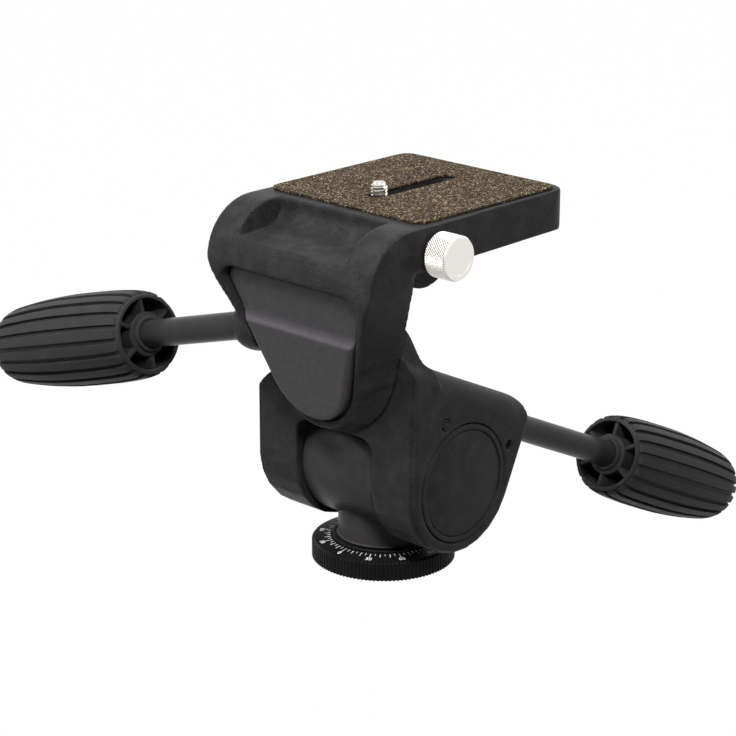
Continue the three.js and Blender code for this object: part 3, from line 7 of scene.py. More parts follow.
import json
import logging
import math
from collections.abc import Iterable, Iterator, Sequence
from contextlib import contextmanager
from dataclasses import dataclass, field
from enum import Enum

import bpy
from mathutils import Matrix, Vector

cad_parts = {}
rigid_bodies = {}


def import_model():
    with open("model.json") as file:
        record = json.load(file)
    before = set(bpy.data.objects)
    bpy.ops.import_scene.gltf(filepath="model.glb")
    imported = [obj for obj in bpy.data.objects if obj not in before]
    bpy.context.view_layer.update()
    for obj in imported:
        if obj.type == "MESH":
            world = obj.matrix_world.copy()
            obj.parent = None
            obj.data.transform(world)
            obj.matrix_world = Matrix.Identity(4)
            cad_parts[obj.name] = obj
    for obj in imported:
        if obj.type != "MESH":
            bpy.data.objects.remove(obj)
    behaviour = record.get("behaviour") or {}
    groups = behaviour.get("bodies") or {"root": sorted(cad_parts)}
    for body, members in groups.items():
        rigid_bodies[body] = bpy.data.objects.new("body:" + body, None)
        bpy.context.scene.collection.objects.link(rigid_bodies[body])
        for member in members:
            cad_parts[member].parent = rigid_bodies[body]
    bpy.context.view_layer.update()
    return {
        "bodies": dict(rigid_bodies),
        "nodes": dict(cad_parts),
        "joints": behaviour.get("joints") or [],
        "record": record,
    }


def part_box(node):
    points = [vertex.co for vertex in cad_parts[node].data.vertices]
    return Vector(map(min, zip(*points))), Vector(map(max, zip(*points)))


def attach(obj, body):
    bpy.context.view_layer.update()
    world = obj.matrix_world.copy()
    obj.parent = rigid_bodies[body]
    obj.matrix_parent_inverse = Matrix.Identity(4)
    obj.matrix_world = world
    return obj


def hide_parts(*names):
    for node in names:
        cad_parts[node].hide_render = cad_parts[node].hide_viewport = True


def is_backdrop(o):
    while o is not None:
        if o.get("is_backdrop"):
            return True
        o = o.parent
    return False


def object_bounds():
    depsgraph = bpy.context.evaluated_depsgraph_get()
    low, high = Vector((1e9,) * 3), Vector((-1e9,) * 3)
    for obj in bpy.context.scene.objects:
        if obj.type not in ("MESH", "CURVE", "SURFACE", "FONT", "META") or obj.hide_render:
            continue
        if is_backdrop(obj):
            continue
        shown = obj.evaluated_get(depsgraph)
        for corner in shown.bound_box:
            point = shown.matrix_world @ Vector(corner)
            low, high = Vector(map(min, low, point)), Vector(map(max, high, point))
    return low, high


MM = 0.001
LOG = logging.getLogger("pan_tilt_head")

Piece = bpy.types.Object
Socket = bpy.types.NodeSocket
Profile = Sequence[tuple[float, float]]
Triple = tuple[float, float, float]

UP = Vector((0, 0, 1))
TILT_HEIGHT = 39.6
KNOB_AXIS = (-16.9, 131.24)


class Body(Enum):
    """The rigid bodies of the frame that pieces ride on."""

    BASE = "base"
    DRUM = "drum"
    YOKE = "yoke"
    REAR_HANDLE = "rear_handle"
    SIDE_HANDLE = "side_handle"
    BRACKET = "bracket"
    KNOB = "knob"
    SCREW = "screw"


# Modelling by hand, one operator after another


def deselect_all() -> None:
    """Clears the selection, because an operator acts on all that is selected."""
    if bpy.context.mode != "OBJECT":
        bpy.ops.object.mode_set(mode="OBJECT")
    bpy.ops.object.select_all(action="DESELECT")


def make_active(obj: Piece) -> None:
    """Selects one object alone and makes it active."""
    deselect_all()
    obj.select_set(True)
    bpy.context.view_layer.objects.active = obj


@contextmanager
def editing(obj: Piece, action: str = "SELECT") -> Iterator[None]:
    """Opens an object in edit mode, with all of it or none of it selected, and closes it again."""
    make_active(obj)
    bpy.ops.object.mode_set(mode="EDIT")
    bpy.ops.mesh.select_all(action=action)
    yield
    bpy.ops.object.mode_set(mode="OBJECT")


def modify(obj: Piece, kind: str, **settings: object) -> None:
    """Adds a modifier of a kind with its settings and applies it."""
    modifier = obj.modifiers.new(kind.lower(), kind)
    for key, value in settings.items():
        setattr(modifier, key, value)
    make_active(obj)
    bpy.ops.object.modifier_apply(modifier=modifier.name)


def tidy_mesh(obj: Piece, merge: float = 0.002) -> None:
    """Merges vertices within a distance in millimetres and turns all faces outwards."""
    with editing(obj):
        bpy.ops.mesh.remove_doubles(threshold=merge * MM)
        bpy.ops.mesh.normals_make_consistent(inside=False)


def smooth_shade(obj: Piece, angle: float = 35.0) -> None:
    """Shades an object smooth except across edges that are sharper than an angle in degrees."""
    make_active(obj)
    bpy.ops.object.shade_smooth_by_angle(angle=math.radians(angle))


def place(obj: Piece, matrix: Matrix) -> None:
    """Moves a mesh into the frame and leaves its object at the origin, unturned."""
    obj.data.transform(matrix @ obj.matrix_basis)
    obj.matrix_basis = Matrix.Identity(4)
    obj.data.update()


def shifted(x: float, y: float, z: float) -> Matrix:
    """Returns the matrix of a shift in millimetres."""
    return Matrix.Translation(Vector((x, y, z)) * MM)


def turn(angle: float, axis: str) -> Matrix:
    """Returns the matrix of a turn in degrees about an axis."""
    return Matrix.Rotation(math.radians(angle), 4, axis)


def ring_circle(segments: int, radius: float, height: float, filled: bool) -> Piece:
    """Adds the circle that a turned piece starts from, closed by a face where it is filled."""
    deselect_all()
    fill = "NGON" if filled else "NOTHING"
    bpy.ops.mesh.primitive_circle_add(
        vertices=segments, radius=radius * MM, fill_type=fill, location=(0, 0, height * MM)
    )
    bpy.ops.object.transform_apply(location=True, rotation=True, scale=True)
    return bpy.context.active_object


def extrude_rings(start: tuple[float, float], rings: Profile) -> None:
    """Extrudes the selected ring from its own radius and height to those of each ring that follows."""
    radius, height = start
    for next_radius, next_height in rings:
        rise = (0, 0, (next_height - height) * MM)
        bpy.ops.mesh.extrude_region_move(TRANSFORM_OT_translate={"value": rise})
        scale = next_radius / radius
        bpy.ops.transform.resize(value=(scale, scale, 1), center_override=(0, 0, next_height * MM))
        radius, height = next_radius, next_height


def turned(
    name: str, profile: Profile, segments: int = 96, closed: bool = False, angle: float = 35.0
) -> Piece:
    """Turns a piece about Z, as on a lathe.

    Args:
        name: The piece's name.
        profile: Radius and height of each ring in millimetres.
        segments: How many sides the rings have.
        closed: Whether the profile runs round to its start, as a tube's does. Otherwise both
            ends are closed by a face.
        angle: Edges sharper than this stay sharp.

    Returns:
        The piece, about the axis Z at the origin.
    """
    obj = ring_circle(segments, *profile[0], filled=not closed)
    obj.name = name
    with editing(obj):
        extrude_rings(profile[0], [*profile[1:], *([profile[0]] if closed else [])])
    tidy_mesh(obj)
    smooth_shade(obj, angle)
    return obj


def rounded_slab(
    name: str, low: tuple[float, float], high: tuple[float, float], corner: float, span: tuple[float, float]
) -> Piece:
    """Makes a slab with round corners from a plane.

    Args:
        name: The piece's name.
        low: Its lowest X and Y in millimetres.
        high: Its highest X and Y.
        corner: The radius of its four corners.
        span: Its lowest and highest Z.

    Returns:
        The slab.
    """
    deselect_all()
    middle = ((low[0] + high[0]) / 2 * MM, (low[1] + high[1]) / 2 * MM, span[0] * MM)
    bpy.ops.mesh.primitive_plane_add(size=1, location=middle)
    obj = bpy.context.active_object
    obj.name = name
    obj.scale = ((high[0] - low[0]) * MM, (high[1] - low[1]) * MM, 1)
    bpy.ops.object.transform_apply(location=True, rotation=True, scale=True)
    with editing(obj):
        bpy.ops.mesh.bevel(offset=corner * MM, segments=14, affect="VERTICES")
        bpy.ops.mesh.select_all(action="SELECT")
        rise = (0, 0, (span[1] - span[0]) * MM)
        bpy.ops.mesh.extrude_region_move(TRANSFORM_OT_translate={"value": rise})
    tidy_mesh(obj)
    return obj


def bevel_edges(obj: Piece, width: float, angle: float = 40.0) -> None:
    """Rounds the edges that are sharper than an angle in degrees, by a width in millimetres."""
    modify(obj, "BEVEL", width=width * MM, segments=2, limit_method="ANGLE", angle_limit=math.radians(angle))


def cut_with(obj: Piece, cutter: Piece) -> None:
    """Cuts one object out of another and removes the cutter."""
    modify(obj, "BOOLEAN", operation="DIFFERENCE", solver="EXACT", object=cutter)
    bpy.data.objects.remove(cutter, do_unlink=True)


def join_pieces(name: str, pieces: Iterable[Piece]) -> Piece:
    """Joins objects into one mesh and returns it under a new name."""
    chosen = list(pieces)
    make_active(chosen[0])
    for piece in chosen:
        piece.select_set(True)
    bpy.ops.object.join()
    joined = bpy.context.active_object
    joined.name = name
    return joined


def copy_of_node(frame: dict, node: str, name: str) -> Piece:
    """Copies a CAD node's mesh into a new object with its facets merged."""
    mesh = frame["nodes"][node].data.copy()
    mesh.materials.clear()
    obj = bpy.data.objects.new(name, mesh)
    bpy.context.scene.collection.objects.link(obj)
    tidy_mesh(obj, merge=0.01)
    return obj


def cast_copy(frame: dict, node: str, name: str, voxel: float, passes: int) -> Piece:
    """Copies a CAD casting and rounds its edges as a casting's are.

    Args:
        node: The CAD node's name.
        name: The new piece's name.
        voxel: The remesh grid in millimetres.
        passes: How often the skin is smoothed.

    Returns:
        The rounded casting.
    """
    obj = copy_of_node(frame, node, name)
    modify(obj, "REMESH", mode="VOXEL", voxel_size=voxel * MM)
    modify(obj, "SMOOTH", factor=0.5, iterations=passes)
    bpy.ops.object.shade_smooth()
    return obj


def settle(obj: Piece, body: Body, finish: "Finish", nodes: Iterable[str] = ()) -> None:
    """Gives a finished piece its finish and its body, and hides the CAD nodes that it stands for.

    Args:
        obj: The piece.
        body: The body it rides on.
        finish: The finish it is dressed with.
        nodes: The CAD nodes it replaces.
    """
    obj.data.materials.clear()
    obj.data.materials.append(finish.material())
    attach(obj, body.value)
    if nodes:
        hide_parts(*nodes)
    LOG.info("%s: %d faces on %s", obj.name, len(obj.data.polygons), body.value)


def settle_copy(frame: dict, node: str, ending: str, body: Body, finish: "Finish") -> None:
    """Copies a plain CAD node, shades the copy smooth and settles it in the node's place.

    Args:
        node: The CAD node's name.
        ending: What the copy's name has after the node's.
        body: The body it rides on.
        finish: The finish it is dressed with.
    """
    copy = copy_of_node(frame, node, f"{node}_{ending}")
    smooth_shade(copy, 30)
    settle(copy, body, finish, [node])


# Finishes


class NodeBook:
    """Writes the nodes of one material."""

    def __init__(self, name: str) -> None:
        """Starts a material with its shader and its object coordinates."""
        self.made = bpy.data.materials.new(name)
        self.made.use_nodes = True
        self.tree = self.made.node_tree
        self.shader = self.tree.nodes["Principled BSDF"]
        self.place = self.tree.nodes.new("ShaderNodeTexCoord").outputs["Object"]

    def node(self, kind: str, inputs: dict | None = None, **values: object) -> bpy.types.Node:
        """Adds a node and sets its properties and the plain values of its inputs."""
        made = self.tree.nodes.new(kind)
        for key, value in values.items():
            setattr(made, key, value)
        for key, value in (inputs or {}).items():
            made.inputs[key].default_value = value
        return made

    def link(self, source: Socket, target: Socket) -> None:
        """Joins two sockets."""
        self.tree.links.new(source, target)

    def stretched(self, scale: Triple) -> Socket:
        """Returns object coordinates that are scaled along each axis."""
        mapping = self.node("ShaderNodeMapping", {"Scale": scale})
        self.link(self.place, mapping.inputs["Vector"])
        return mapping.outputs["Vector"]

    def noise(
        self, size: float, detail: float = 3.0, rough: float = 0.5, place: Socket | None = None
    ) -> Socket:
        """Adds a noise whose blots are about a size in millimetres.

        Args:
            size: The size of a blot in millimetres.
            detail: How many finer layers it has.
            rough: How strong the finer layers are.
            place: The coordinates, or the object's own where left out.

        Returns:
            The noise's factor.
        """
        inputs = {"Scale": 1 / (size * MM), "Detail": detail, "Roughness": rough}
        made = self.node("ShaderNodeTexNoise", inputs)
        self.link(place or self.place, made.inputs["Vector"])
        return made.outputs["Fac"]

    def cells(self, size: float) -> bpy.types.Node:
        """Adds a Voronoi pattern whose cells are about a size in millimetres."""
        made = self.node("ShaderNodeTexVoronoi", {"Scale": 1 / (size * MM)})
        self.link(self.place, made.inputs["Vector"])
        return made

    def reach(self, point: Triple, across: Triple) -> Socket:
        """Returns the distance from an axis.

        Args:
            point: A point on the axis in millimetres.
            across: One for each direction that runs across the axis, and nought for the axis's own.

        Returns:
            The distance in metres.
        """
        value = self.place
        for operation, other in (("SUBTRACT", Vector(point) * MM), ("MULTIPLY", across)):
            made = self.node("ShaderNodeVectorMath", {1: other}, operation=operation)
            self.link(value, made.inputs[0])
            value = made.outputs["Vector"]
        length = self.node("ShaderNodeVectorMath", operation="LENGTH")
        self.link(value, length.inputs[0])
        return length.outputs["Value"]

    def ramp(self, source: Socket, stops: Sequence[tuple[float, Triple]], constant: bool = False) -> Socket:
        """Turns a factor into the colours of its stops, in steps where they are constant."""
        made = self.node("ShaderNodeValToRGB")
        elements = made.color_ramp.elements
        made.color_ramp.interpolation = "CONSTANT" if constant else "LINEAR"
        while len(elements) < len(stops):
            elements.new(0.5)
        for element, (position, colour) in zip(elements, stops):
            element.position = position
            element.color = (*colour, 1.0)
        self.link(source, made.inputs["Fac"])
        return made.outputs["Color"]

    def span(self, source: Socket, low: float, high: float, start: float = 0.3, end: float = 0.7) -> Socket:
        """Maps a factor from start and end to low and high."""
        limits = {"From Min": start, "From Max": end, "To Min": low, "To Max": high}
        made = self.node("ShaderNodeMapRange", limits)
        self.link(source, made.inputs["Value"])
        return made.outputs["Result"]

    def sum_of(self, first: Socket, second: Socket, share: float) -> Socket:
        """Adds a share of one factor to another."""
        made = self.node("ShaderNodeMath", {1: share}, operation="MULTIPLY_ADD")
        self.link(second, made.inputs[0])
        self.link(first, made.inputs[2])
        return made.outputs[0]

    def pair(self, operation: str, first: Socket, second: Socket) -> Socket:
        """Joins two factors by an operation such as a product."""
        made = self.node("ShaderNodeMath", operation=operation)
        self.link(first, made.inputs[0])
        self.link(second, made.inputs[1])
        return made.outputs[0]

    def surface(self, colour: Socket, roughness: Socket, height: Socket, depth: float) -> None:
        """Writes the surface.

        Args:
            colour: The base colour.
            roughness: The roughness.
            height: The relief as a factor.
            depth: How deep the relief is in millimetres.
        """
        self.link(colour, self.shader.inputs["Base Color"])
        self.link(roughness, self.shader.inputs["Roughness"])
        relief = self.node("ShaderNodeBump", {"Strength": 1.0, "Distance": depth * MM})
        self.link(height, relief.inputs["Height"])
        self.link(relief.outputs["Normal"], self.shader.inputs["Normal"])


@dataclass(frozen=True)
class Finish:
    """A finish that is made once and shared by its pieces. A plain one has faint blots."""

    name: str
    colour: Triple
    roughness: float
    metal: float = 0.0
    specular: float = 0.5

    def material(self) -> bpy.types.Material:
        """Returns the finish's material, and makes it at first use."""
        ready = bpy.data.materials.get(self.name)
        if ready is not None:
            return ready
        book = NodeBook(self.name)
        book.shader.inputs["Metallic"].default_value = self.metal
        book.shader.inputs["Specular IOR Level"].default_value = self.specular
        self.dress(book)
        return book.made

    def tone(self, share: float) -> Triple:
        """Returns the finish's colour made lighter or darker."""
        red, green, blue = self.colour
        return (red * share, green * share, blue * share)

    def tones(self, *stops: tuple[float, float]) -> list[tuple[float, Triple]]:
        """Returns a ramp's stops, from positions and shares of the finish's colour."""
        return [(position, self.tone(share)) for position, share in stops]

    def rough(self, book: NodeBook, source: Socket, less: float, more: float, *limits: float) -> Socket:
        """Returns a roughness that runs from less to more than the finish's own.

        Args:
            book: The material's nodes.
            source: The factor that it follows.
            less: How far below the finish's own it starts.
            more: How far above it ends.
            *limits: Where the factor starts and ends, or nothing.

        Returns:
            The roughness.
        """
        return book.span(source, self.roughness - less, self.roughness + more, *limits)

    def dress(self, book: NodeBook) -> None:
        """Writes faint blots in the colour and in the gloss."""
        colour = book.ramp(book.noise(2.5), self.tones((0.3, 0.9), (0.7, 1.1)))
        book.surface(colour, self.rough(book, book.noise(0.6), 0.05, 0.05), book.noise(0.15), 0.01)


@dataclass(frozen=True)
class PowderCoat(Finish):
    """A powder coat on a die casting: fine orange peel, with scattered pits and specks."""

    grain: float = 0.4
    depth: float = 0.1
    pit_size: float = 1.5
    swell_size: float = 2.4

    def dress(self, book: NodeBook) -> None:
        """Writes the peel, the pits and the specks."""
        peel = book.noise(self.grain, detail=4.0, rough=0.6)
        blots = book.noise(7.0, detail=6.0, rough=0.6)
        tone = book.sum_of(blots, peel, 0.35)
        gloss = self.rough(book, book.sum_of(blots, peel, 0.6), 0.09, 0.11, 0.5, 1.1)
        pits = book.span(book.noise(self.pit_size, detail=1.0), 0.0, -1.0, 0.64, 0.72)
        swell = book.noise(self.swell_size, detail=3.0, rough=0.6)
        relief = book.sum_of(book.sum_of(swell, pits, 2.2), peel, 0.5)
        colour = book.ramp(tone, self.tones((0.4, 0.74), (0.66, 1.0), (0.86, 1.45)))
        book.surface(colour, gloss, relief, self.depth)


@dataclass(frozen=True)
class TurnedPaint(Finish):
    """A satin paint over a turned surface, with faint lines that run round one axis."""

    across: Triple = (1.0, 0.02, 0.02)

    def dress(self, book: NodeBook) -> None:
        """Writes the turning lines and the satin blots."""
        lines = book.noise(0.12, detail=2.0, place=book.stretched(self.across))
        tone = book.sum_of(book.noise(6.0, detail=4.0), lines, 0.3)
        colour = book.ramp(tone, self.tones((0.45, 0.88), (0.85, 1.15)))
        relief = book.sum_of(lines, book.noise(0.3), 0.5)
        book.surface(colour, self.rough(book, lines, 0.05, 0.07), relief, 0.012)


@dataclass(frozen=True)
class TurnedRings(Finish):
    """A face that was turned on a lathe about the pan axis, so its lines are rings."""

    def dress(self, book: NodeBook) -> None:
        """Writes rings by the distance from the axis."""
        joined = book.node("ShaderNodeCombineXYZ")
        book.link(book.reach((0.0, 0.0, 0.0), (1.0, 1.0, 0.0)), joined.inputs["X"])
        rings = book.noise(0.1, detail=2.0, place=joined.outputs["Vector"])
        colour = book.ramp(book.noise(5.0), self.tones((0.3, 0.85), (0.7, 1.15)))
        book.surface(colour, self.rough(book, rings, 0.06, 0.08), rings, 0.01)


@dataclass(frozen=True)
class RibbedRubber(Finish):
    """The moulded grips: dull black with a fine sand grain and paler dust in scattered blots."""

    def dress(self, book: NodeBook) -> None:
        """Writes the sand grain and the dust."""
        sand = book.noise(0.22, detail=3.0, rough=0.7)
        dust = book.noise(7.0, detail=6.0, rough=0.65)
        colour = book.ramp(dust, self.tones((0.35, 0.8), (0.6, 1.0), (0.8, 1.45)))
        gloss = self.rough(book, book.sum_of(dust, sand, 0.4), 0.08, 0.1, 0.45, 0.95)
        book.surface(colour, gloss, sand, 0.03)


@dataclass(frozen=True)
class CorkRubber(Finish):
    """The platform's mat: grains of cork bound in dark rubber, with a few that glint."""

    light: Triple = (0.42, 0.29, 0.16)
    bright: Triple = (0.68, 0.54, 0.38)
    grain: float = 0.46

    def dress(self, book: NodeBook) -> None:
        """Writes the grains, the dark binder between them with shade painted into the gaps, and their
        relief.
        """
        grains = book.cells(self.grain)
        tint = book.node("ShaderNodeSeparateColor")
        book.link(grains.outputs["Color"], tint.inputs["Color"])
        dark = self.tones((0.0, 0.2), (0.28, 0.55), (0.52, 1.05), (0.72, 1.9))
        stops = [*dark, (0.86, self.light), (0.96, self.bright)]
        colours = book.ramp(tint.outputs["Red"], stops, constant=True)
        edge = grains.outputs["Distance"]
        # Painted shade and dark binder: the colour darkens from each grain's middle out to its edge.
        binder_and_gap_shade = book.span(edge, 1.0, 0.35, 0.3, 0.75)
        shade = book.pair("MULTIPLY", binder_and_gap_shade, book.span(book.noise(6.0), 0.85, 1.15))
        mixed = book.node("ShaderNodeMix", data_type="RGBA", blend_type="MULTIPLY")
        mixed.inputs["Factor"].default_value = 1.0
        book.link(colours, mixed.inputs["A"])
        book.link(shade, mixed.inputs["B"])
        gloss = self.rough(book, tint.outputs["Green"], 0.0, -0.5, 0.8, 1.0)
        height = book.sum_of(book.span(edge, 1.0, 0.0, 0.1, 0.8), tint.outputs["Blue"], 0.7)
        book.surface(mixed.outputs["Result"], gloss, height, 0.16)


@dataclass(frozen=True)
class BareMetal(Finish):
    """Bare or plated metal: a little uneven in its gloss, with fine scratches."""

    def dress(self, book: NodeBook) -> None:
        """Writes the uneven gloss and the scratches."""
        stains = book.noise(3.0, detail=3.0, rough=0.5)
        scratches = book.noise(0.08, detail=2.0, place=book.stretched((1.0, 1.0, 0.05)))
        colour = book.ramp(stains, self.tones((0.3, 0.95), (0.7, 1.03)))
        gloss = self.rough(book, book.sum_of(stains, scratches, 0.5), 0.03, 0.04, 0.5, 0.95)
        book.surface(colour, gloss, scratches, 0.002)


@dataclass(frozen=True)
class KnurledMetal(Finish):
    """A plated and knurled knob, with shade painted into the bottom of its teeth."""

    floor: float = 7.95
    crest: float = 8.25
    face: float = 51.0
    blur: float = 0.05

    def dress(self, book: NodeBook) -> None:
        """Paints shade into the teeth's bottoms by the distance from the knob's axis, and keeps the end face
        at its own bright tone.
        """
        reach = book.reach((0.0, *KNOB_AXIS), (0.0, 1.0, 1.0))
        parts = book.node("ShaderNodeSeparateXYZ")
        book.link(book.place, parts.inputs["Vector"])
        # Painted shade: the colour darkens from the teeth's crest down to their floor.
        tooth = book.span(reach, 0.0, 1.0, self.floor * MM, self.crest * MM)
        near, far = (self.face - self.blur) * MM, (self.face + self.blur) * MM
        end = book.span(parts.outputs["X"], 0.0, 1.0, near, far)
        # The painted groove shade, with faint blots of tone mixed in.
        groove_shade_and_blots = book.sum_of(book.pair("MAXIMUM", tooth, end), book.noise(1.2), 0.12)
        colour = book.ramp(groove_shade_and_blots, self.tones((0.0, 0.16), (0.5, 0.6), (1.0, 1.0)))
        book.surface(colour, self.rough(book, book.noise(0.5), 0.04, 0.05), book.noise(0.1), 0.004)


CAST = PowderCoat("casting_coat", (0.0295, 0.028, 0.0293), 0.4, specular=0.055)
SATIN = TurnedPaint("drum_paint", (0.046, 0.043, 0.0442), 0.34, specular=0.06)
COVER = PowderCoat(
    "cover_coat", (0.029, 0.0277, 0.0288), 0.46, specular=0.06, grain=0.22, depth=0.02, pit_size=0.8
)
PLATE = Finish("plate_moulding", (0.079, 0.0745, 0.079), 0.42, specular=0.08)
DIAL = TurnedRings("dial_face", (0.009, 0.009, 0.009), 0.36, specular=0.08)
ROD = TurnedPaint("rod_paint", (0.03, 0.0283, 0.0285), 0.28, specular=0.11, across=(0.3, 0.3, 0.3))
MOULDED = Finish("moulding", (0.014, 0.0134, 0.0136), 0.5, specular=0.08)
BLACKED = Finish("blacked_steel", (0.004, 0.004, 0.004), 0.55, specular=0.06)
GRIP = RibbedRubber("grip_rubber", (0.043, 0.041, 0.042), 0.46, specular=0.055)
MAT = CorkRubber("cork_rubber", (0.08, 0.0535, 0.032), 0.85, specular=0.12)
STEEL = BareMetal("plain_steel", (0.56, 0.55, 0.53), 0.3, metal=1.0)
NICKEL = BareMetal("nickel_plate", (0.7, 0.67, 0.63), 0.2, metal=1.0)
SILVER = KnurledMetal("knurled_silver", (0.82, 0.79, 0.75), 0.36, metal=1.0)
BRASS = BareMetal("machined_brass", (0.6, 0.43, 0.2), 0.3, metal=1.0)
INK = Finish("white_ink", (0.8, 0.8, 0.78), 0.6)

SLOT_FINISHES: dict[str, Finish] = {
    "cast_black": CAST,
    "satin_black": SATIN,
    "dial_black": DIAL,
    "rod_black": ROD,
    "moulded_black": MOULDED,
    "grip_black": GRIP,
    "mat": MAT,
    "steel": STEEL,
    "silver": SILVER,
    "brass": BRASS,
}


# Sub-assemblies


@dataclass
class PanBase:
    """The pan dial with its knurled rim, its scale and the ring that the drum's neck stands on."""

    radius: float = 27.5
    height: float = 7.25
    knurls: int = 112
    knurl_depth: float = 0.5
    chamfer: float = 0.6
    bore: float = 14.0
    spindle_bore: float = 8.3
    recess: float = 4.2
    ring_radius: float = 19.6
    ring_low: float = 7.55
    ring_high: float = 9.0
    cone_rise: float = 0.75
    cone_radius: float = 19.95
    cone_foot: float = 26.3
    cone_edge: float = 0.1
    cone_sink: float = 0.05
    scale_start: float = 0.25
    tick_step: int = 5
    number_step: int = 30
    number_place: float = 4.35
    number_size: float = 2.6325
    number_weight: float = 0.05
    front: int = 270
    line: float = 0.14
    ink_depth: float = 0.03
    ticks: dict[int, float] = field(default_factory=lambda: {5: 1.4, 10: 2.4, 30: 3.1})

    def build(self, frame: dict) -> None:
        """Builds the dial, its scale and the ring."""
        settle(self.dial(), Body.BASE, DIAL, ["base_dial"])
        settle(self.scale(), Body.BASE, INK)
        settle(self.index_ring(), Body.DRUM, DIAL, ["index_ring"])
        settle_copy(frame, "thread_insert", "turned", Body.BASE, BRASS)
        settle_copy(frame, "pan_spindle", "turned", Body.BASE, STEEL)

    def dial(self) -> Piece:
        """Returns the dial: a circle whose teeth are drawn in, extruded and chamfered, then bored."""
        obj = ring_circle(self.knurls * 4, self.radius, 0.0, filled=True)
        obj.name = "dial_body"
        draw = (self.radius - self.knurl_depth) / self.radius
        for i, vertex in enumerate(obj.data.vertices):
            if i % 4 in (2, 3):
                vertex.co *= draw
        top, inner = self.height - self.chamfer, self.radius - self.knurl_depth - self.chamfer
        with editing(obj):
            extrude_rings((self.radius, 0.0), [(self.radius, top), (inner, self.height)])
        tidy_mesh(obj)
        for radius, low, high in (
            (self.bore, -1.0, self.recess), (self.spindle_bore, 0.0, self.height + 1.0)
        ):
            cut_with(obj, turned("bore", [(radius, low), (radius, high)]))
        smooth_shade(obj, 25)
        foot, crown, edge = self.height - self.cone_sink, self.height + self.cone_rise, self.cone_edge
        cone = turned("dial_cone", [
            (self.cone_radius, foot), (self.cone_foot, foot), (self.cone_foot, self.height),
            (self.cone_radius + edge, crown), (self.cone_radius, crown - edge),
        ], segments=160, closed=True, angle=20)
        return join_pieces("dial_body", [obj, cone])

    def on_cone(self, angle: float) -> Matrix:
        """Returns the matrix that lays a piece on the cone, with its X running down the slope."""
        crown = self.cone_radius + self.cone_edge
        slope = math.degrees(math.atan2(self.cone_rise, self.cone_foot - crown))
        return turn(angle, "Z") @ shifted(crown, 0, self.height + self.cone_rise) @ turn(slope, "Y")

    def scale(self) -> Piece:
        """Returns the white scale: ticks and numbers, from nought at the front up to ninety on each side."""
        pieces = []
        for degrees in range(0, 360, self.tick_step):
            step = max(step for step in self.ticks if degrees % step == 0)
            pieces.append(self.tick(degrees, self.ticks[step]))
        for degrees in range(0, 360, self.number_step):
            away = abs((degrees - self.front + 180) % 360 - 180)
            pieces.append(self.number(str(min(away, 180 - away)), degrees))
        return join_pieces("dial_scale", pieces)

    def tick(self, angle: float, length: float) -> Piece:
        """Returns one tick that runs outwards on the cone."""
        low, high = (self.scale_start, -self.line), (self.scale_start + length, self.line)
        obj = rounded_slab("tick", low, high, self.line * 0.4, (0.0, self.ink_depth))
        place(obj, self.on_cone(angle))
        return obj

    def number(self, text: str, angle: float) -> Piece:
        """Returns one number, whose head points at the dial's middle."""
        deselect_all()
        bpy.ops.object.text_add(location=(0, 0, 0))
        obj = bpy.context.active_object
        for key, value in {
            "body": text, "size": self.number_size * MM, "align_x": "CENTER", "align_y": "CENTER",
            "extrude": self.ink_depth / 2 * MM, "offset": self.number_weight * MM, "resolution_u": 3,
        }.items():
            setattr(obj.data, key, value)
        bpy.ops.object.convert(target="MESH")
        place(obj, self.on_cone(angle) @ shifted(self.number_place, 0, self.ink_depth / 2) @ turn(90, "Z"))
        return obj

    def index_ring(self) -> Piece:
        """Returns the ring under the drum's neck, with a groove and a rounded rim."""
        low, high, outer, inner = self.ring_low, self.ring_high, self.ring_radius, self.spindle_bore
        return turned("index_ring_turned", [
            (inner, low), (outer - 0.2, low), (outer, low + 0.2), (outer, high - 0.35),
            (outer - 0.1, high - 0.12), (outer - 0.35, high - 0.02), (outer - 1.0, high - 0.1),
            (outer - 1.2, high - 0.3), (outer - 2.4, high - 0.3), (inner, high - 0.3),
        ], segments=128, closed=True, angle=50)


@dataclass
class TiltDrum:
    """The barrel that the yoke tilts on, and its neck."""

    radius: float = 25.0
    half: float = 19.0
    chamfer: float = 0.8
    axle_bore: float = 6.6
    bush_bore: float = 9.3
    bush_depth: float = 8.3
    neck_radius: float = 17.4
    neck_low: float = 9.3
    neck_bore: float = 12.0
    neck_sink: float = 12.0
    bore_depth: float = 8.0

    def build(self) -> None:
        """Builds the barrel with its neck."""
        settle(self.barrel(), Body.DRUM, SATIN, ["tilt_drum"])

    def barrel(self) -> Piece:
        """Returns the barrel, turned and set across, with its neck joined below."""
        half, inner, mouth, radius = self.half, self.axle_bore, self.bush_bore, self.radius
        step, chamfer = half - self.bush_depth, self.chamfer
        barrel = turned("barrel", [
            (inner, -step), (mouth, -step), (mouth, -half), (radius - chamfer, -half),
            (radius - 0.25, chamfer * 0.3 - half), (radius, chamfer - half), (radius, half - chamfer),
            (radius - 0.25, half - chamfer * 0.3), (radius - chamfer, half), (mouth, half), (mouth, step),
            (inner, step),
        ], segments=160, closed=True, angle=50)
        place(barrel, shifted(0, 0, TILT_HEIGHT) @ turn(90, "Y"))
        low, bore, outer, top = self.neck_low, self.neck_bore, self.neck_radius, TILT_HEIGHT - self.neck_sink
        neck = turned("neck", [
            (bore, low), (outer + 0.35, low), (outer + 0.5, low + 0.2), (outer + 0.4, low + 0.55),
            (outer, low + 0.75), (outer, top), (bore, top), (bore, low + self.bore_depth),
        ], segments=128, closed=True, angle=50)
        return join_pieces("drum_body", [barrel, neck])


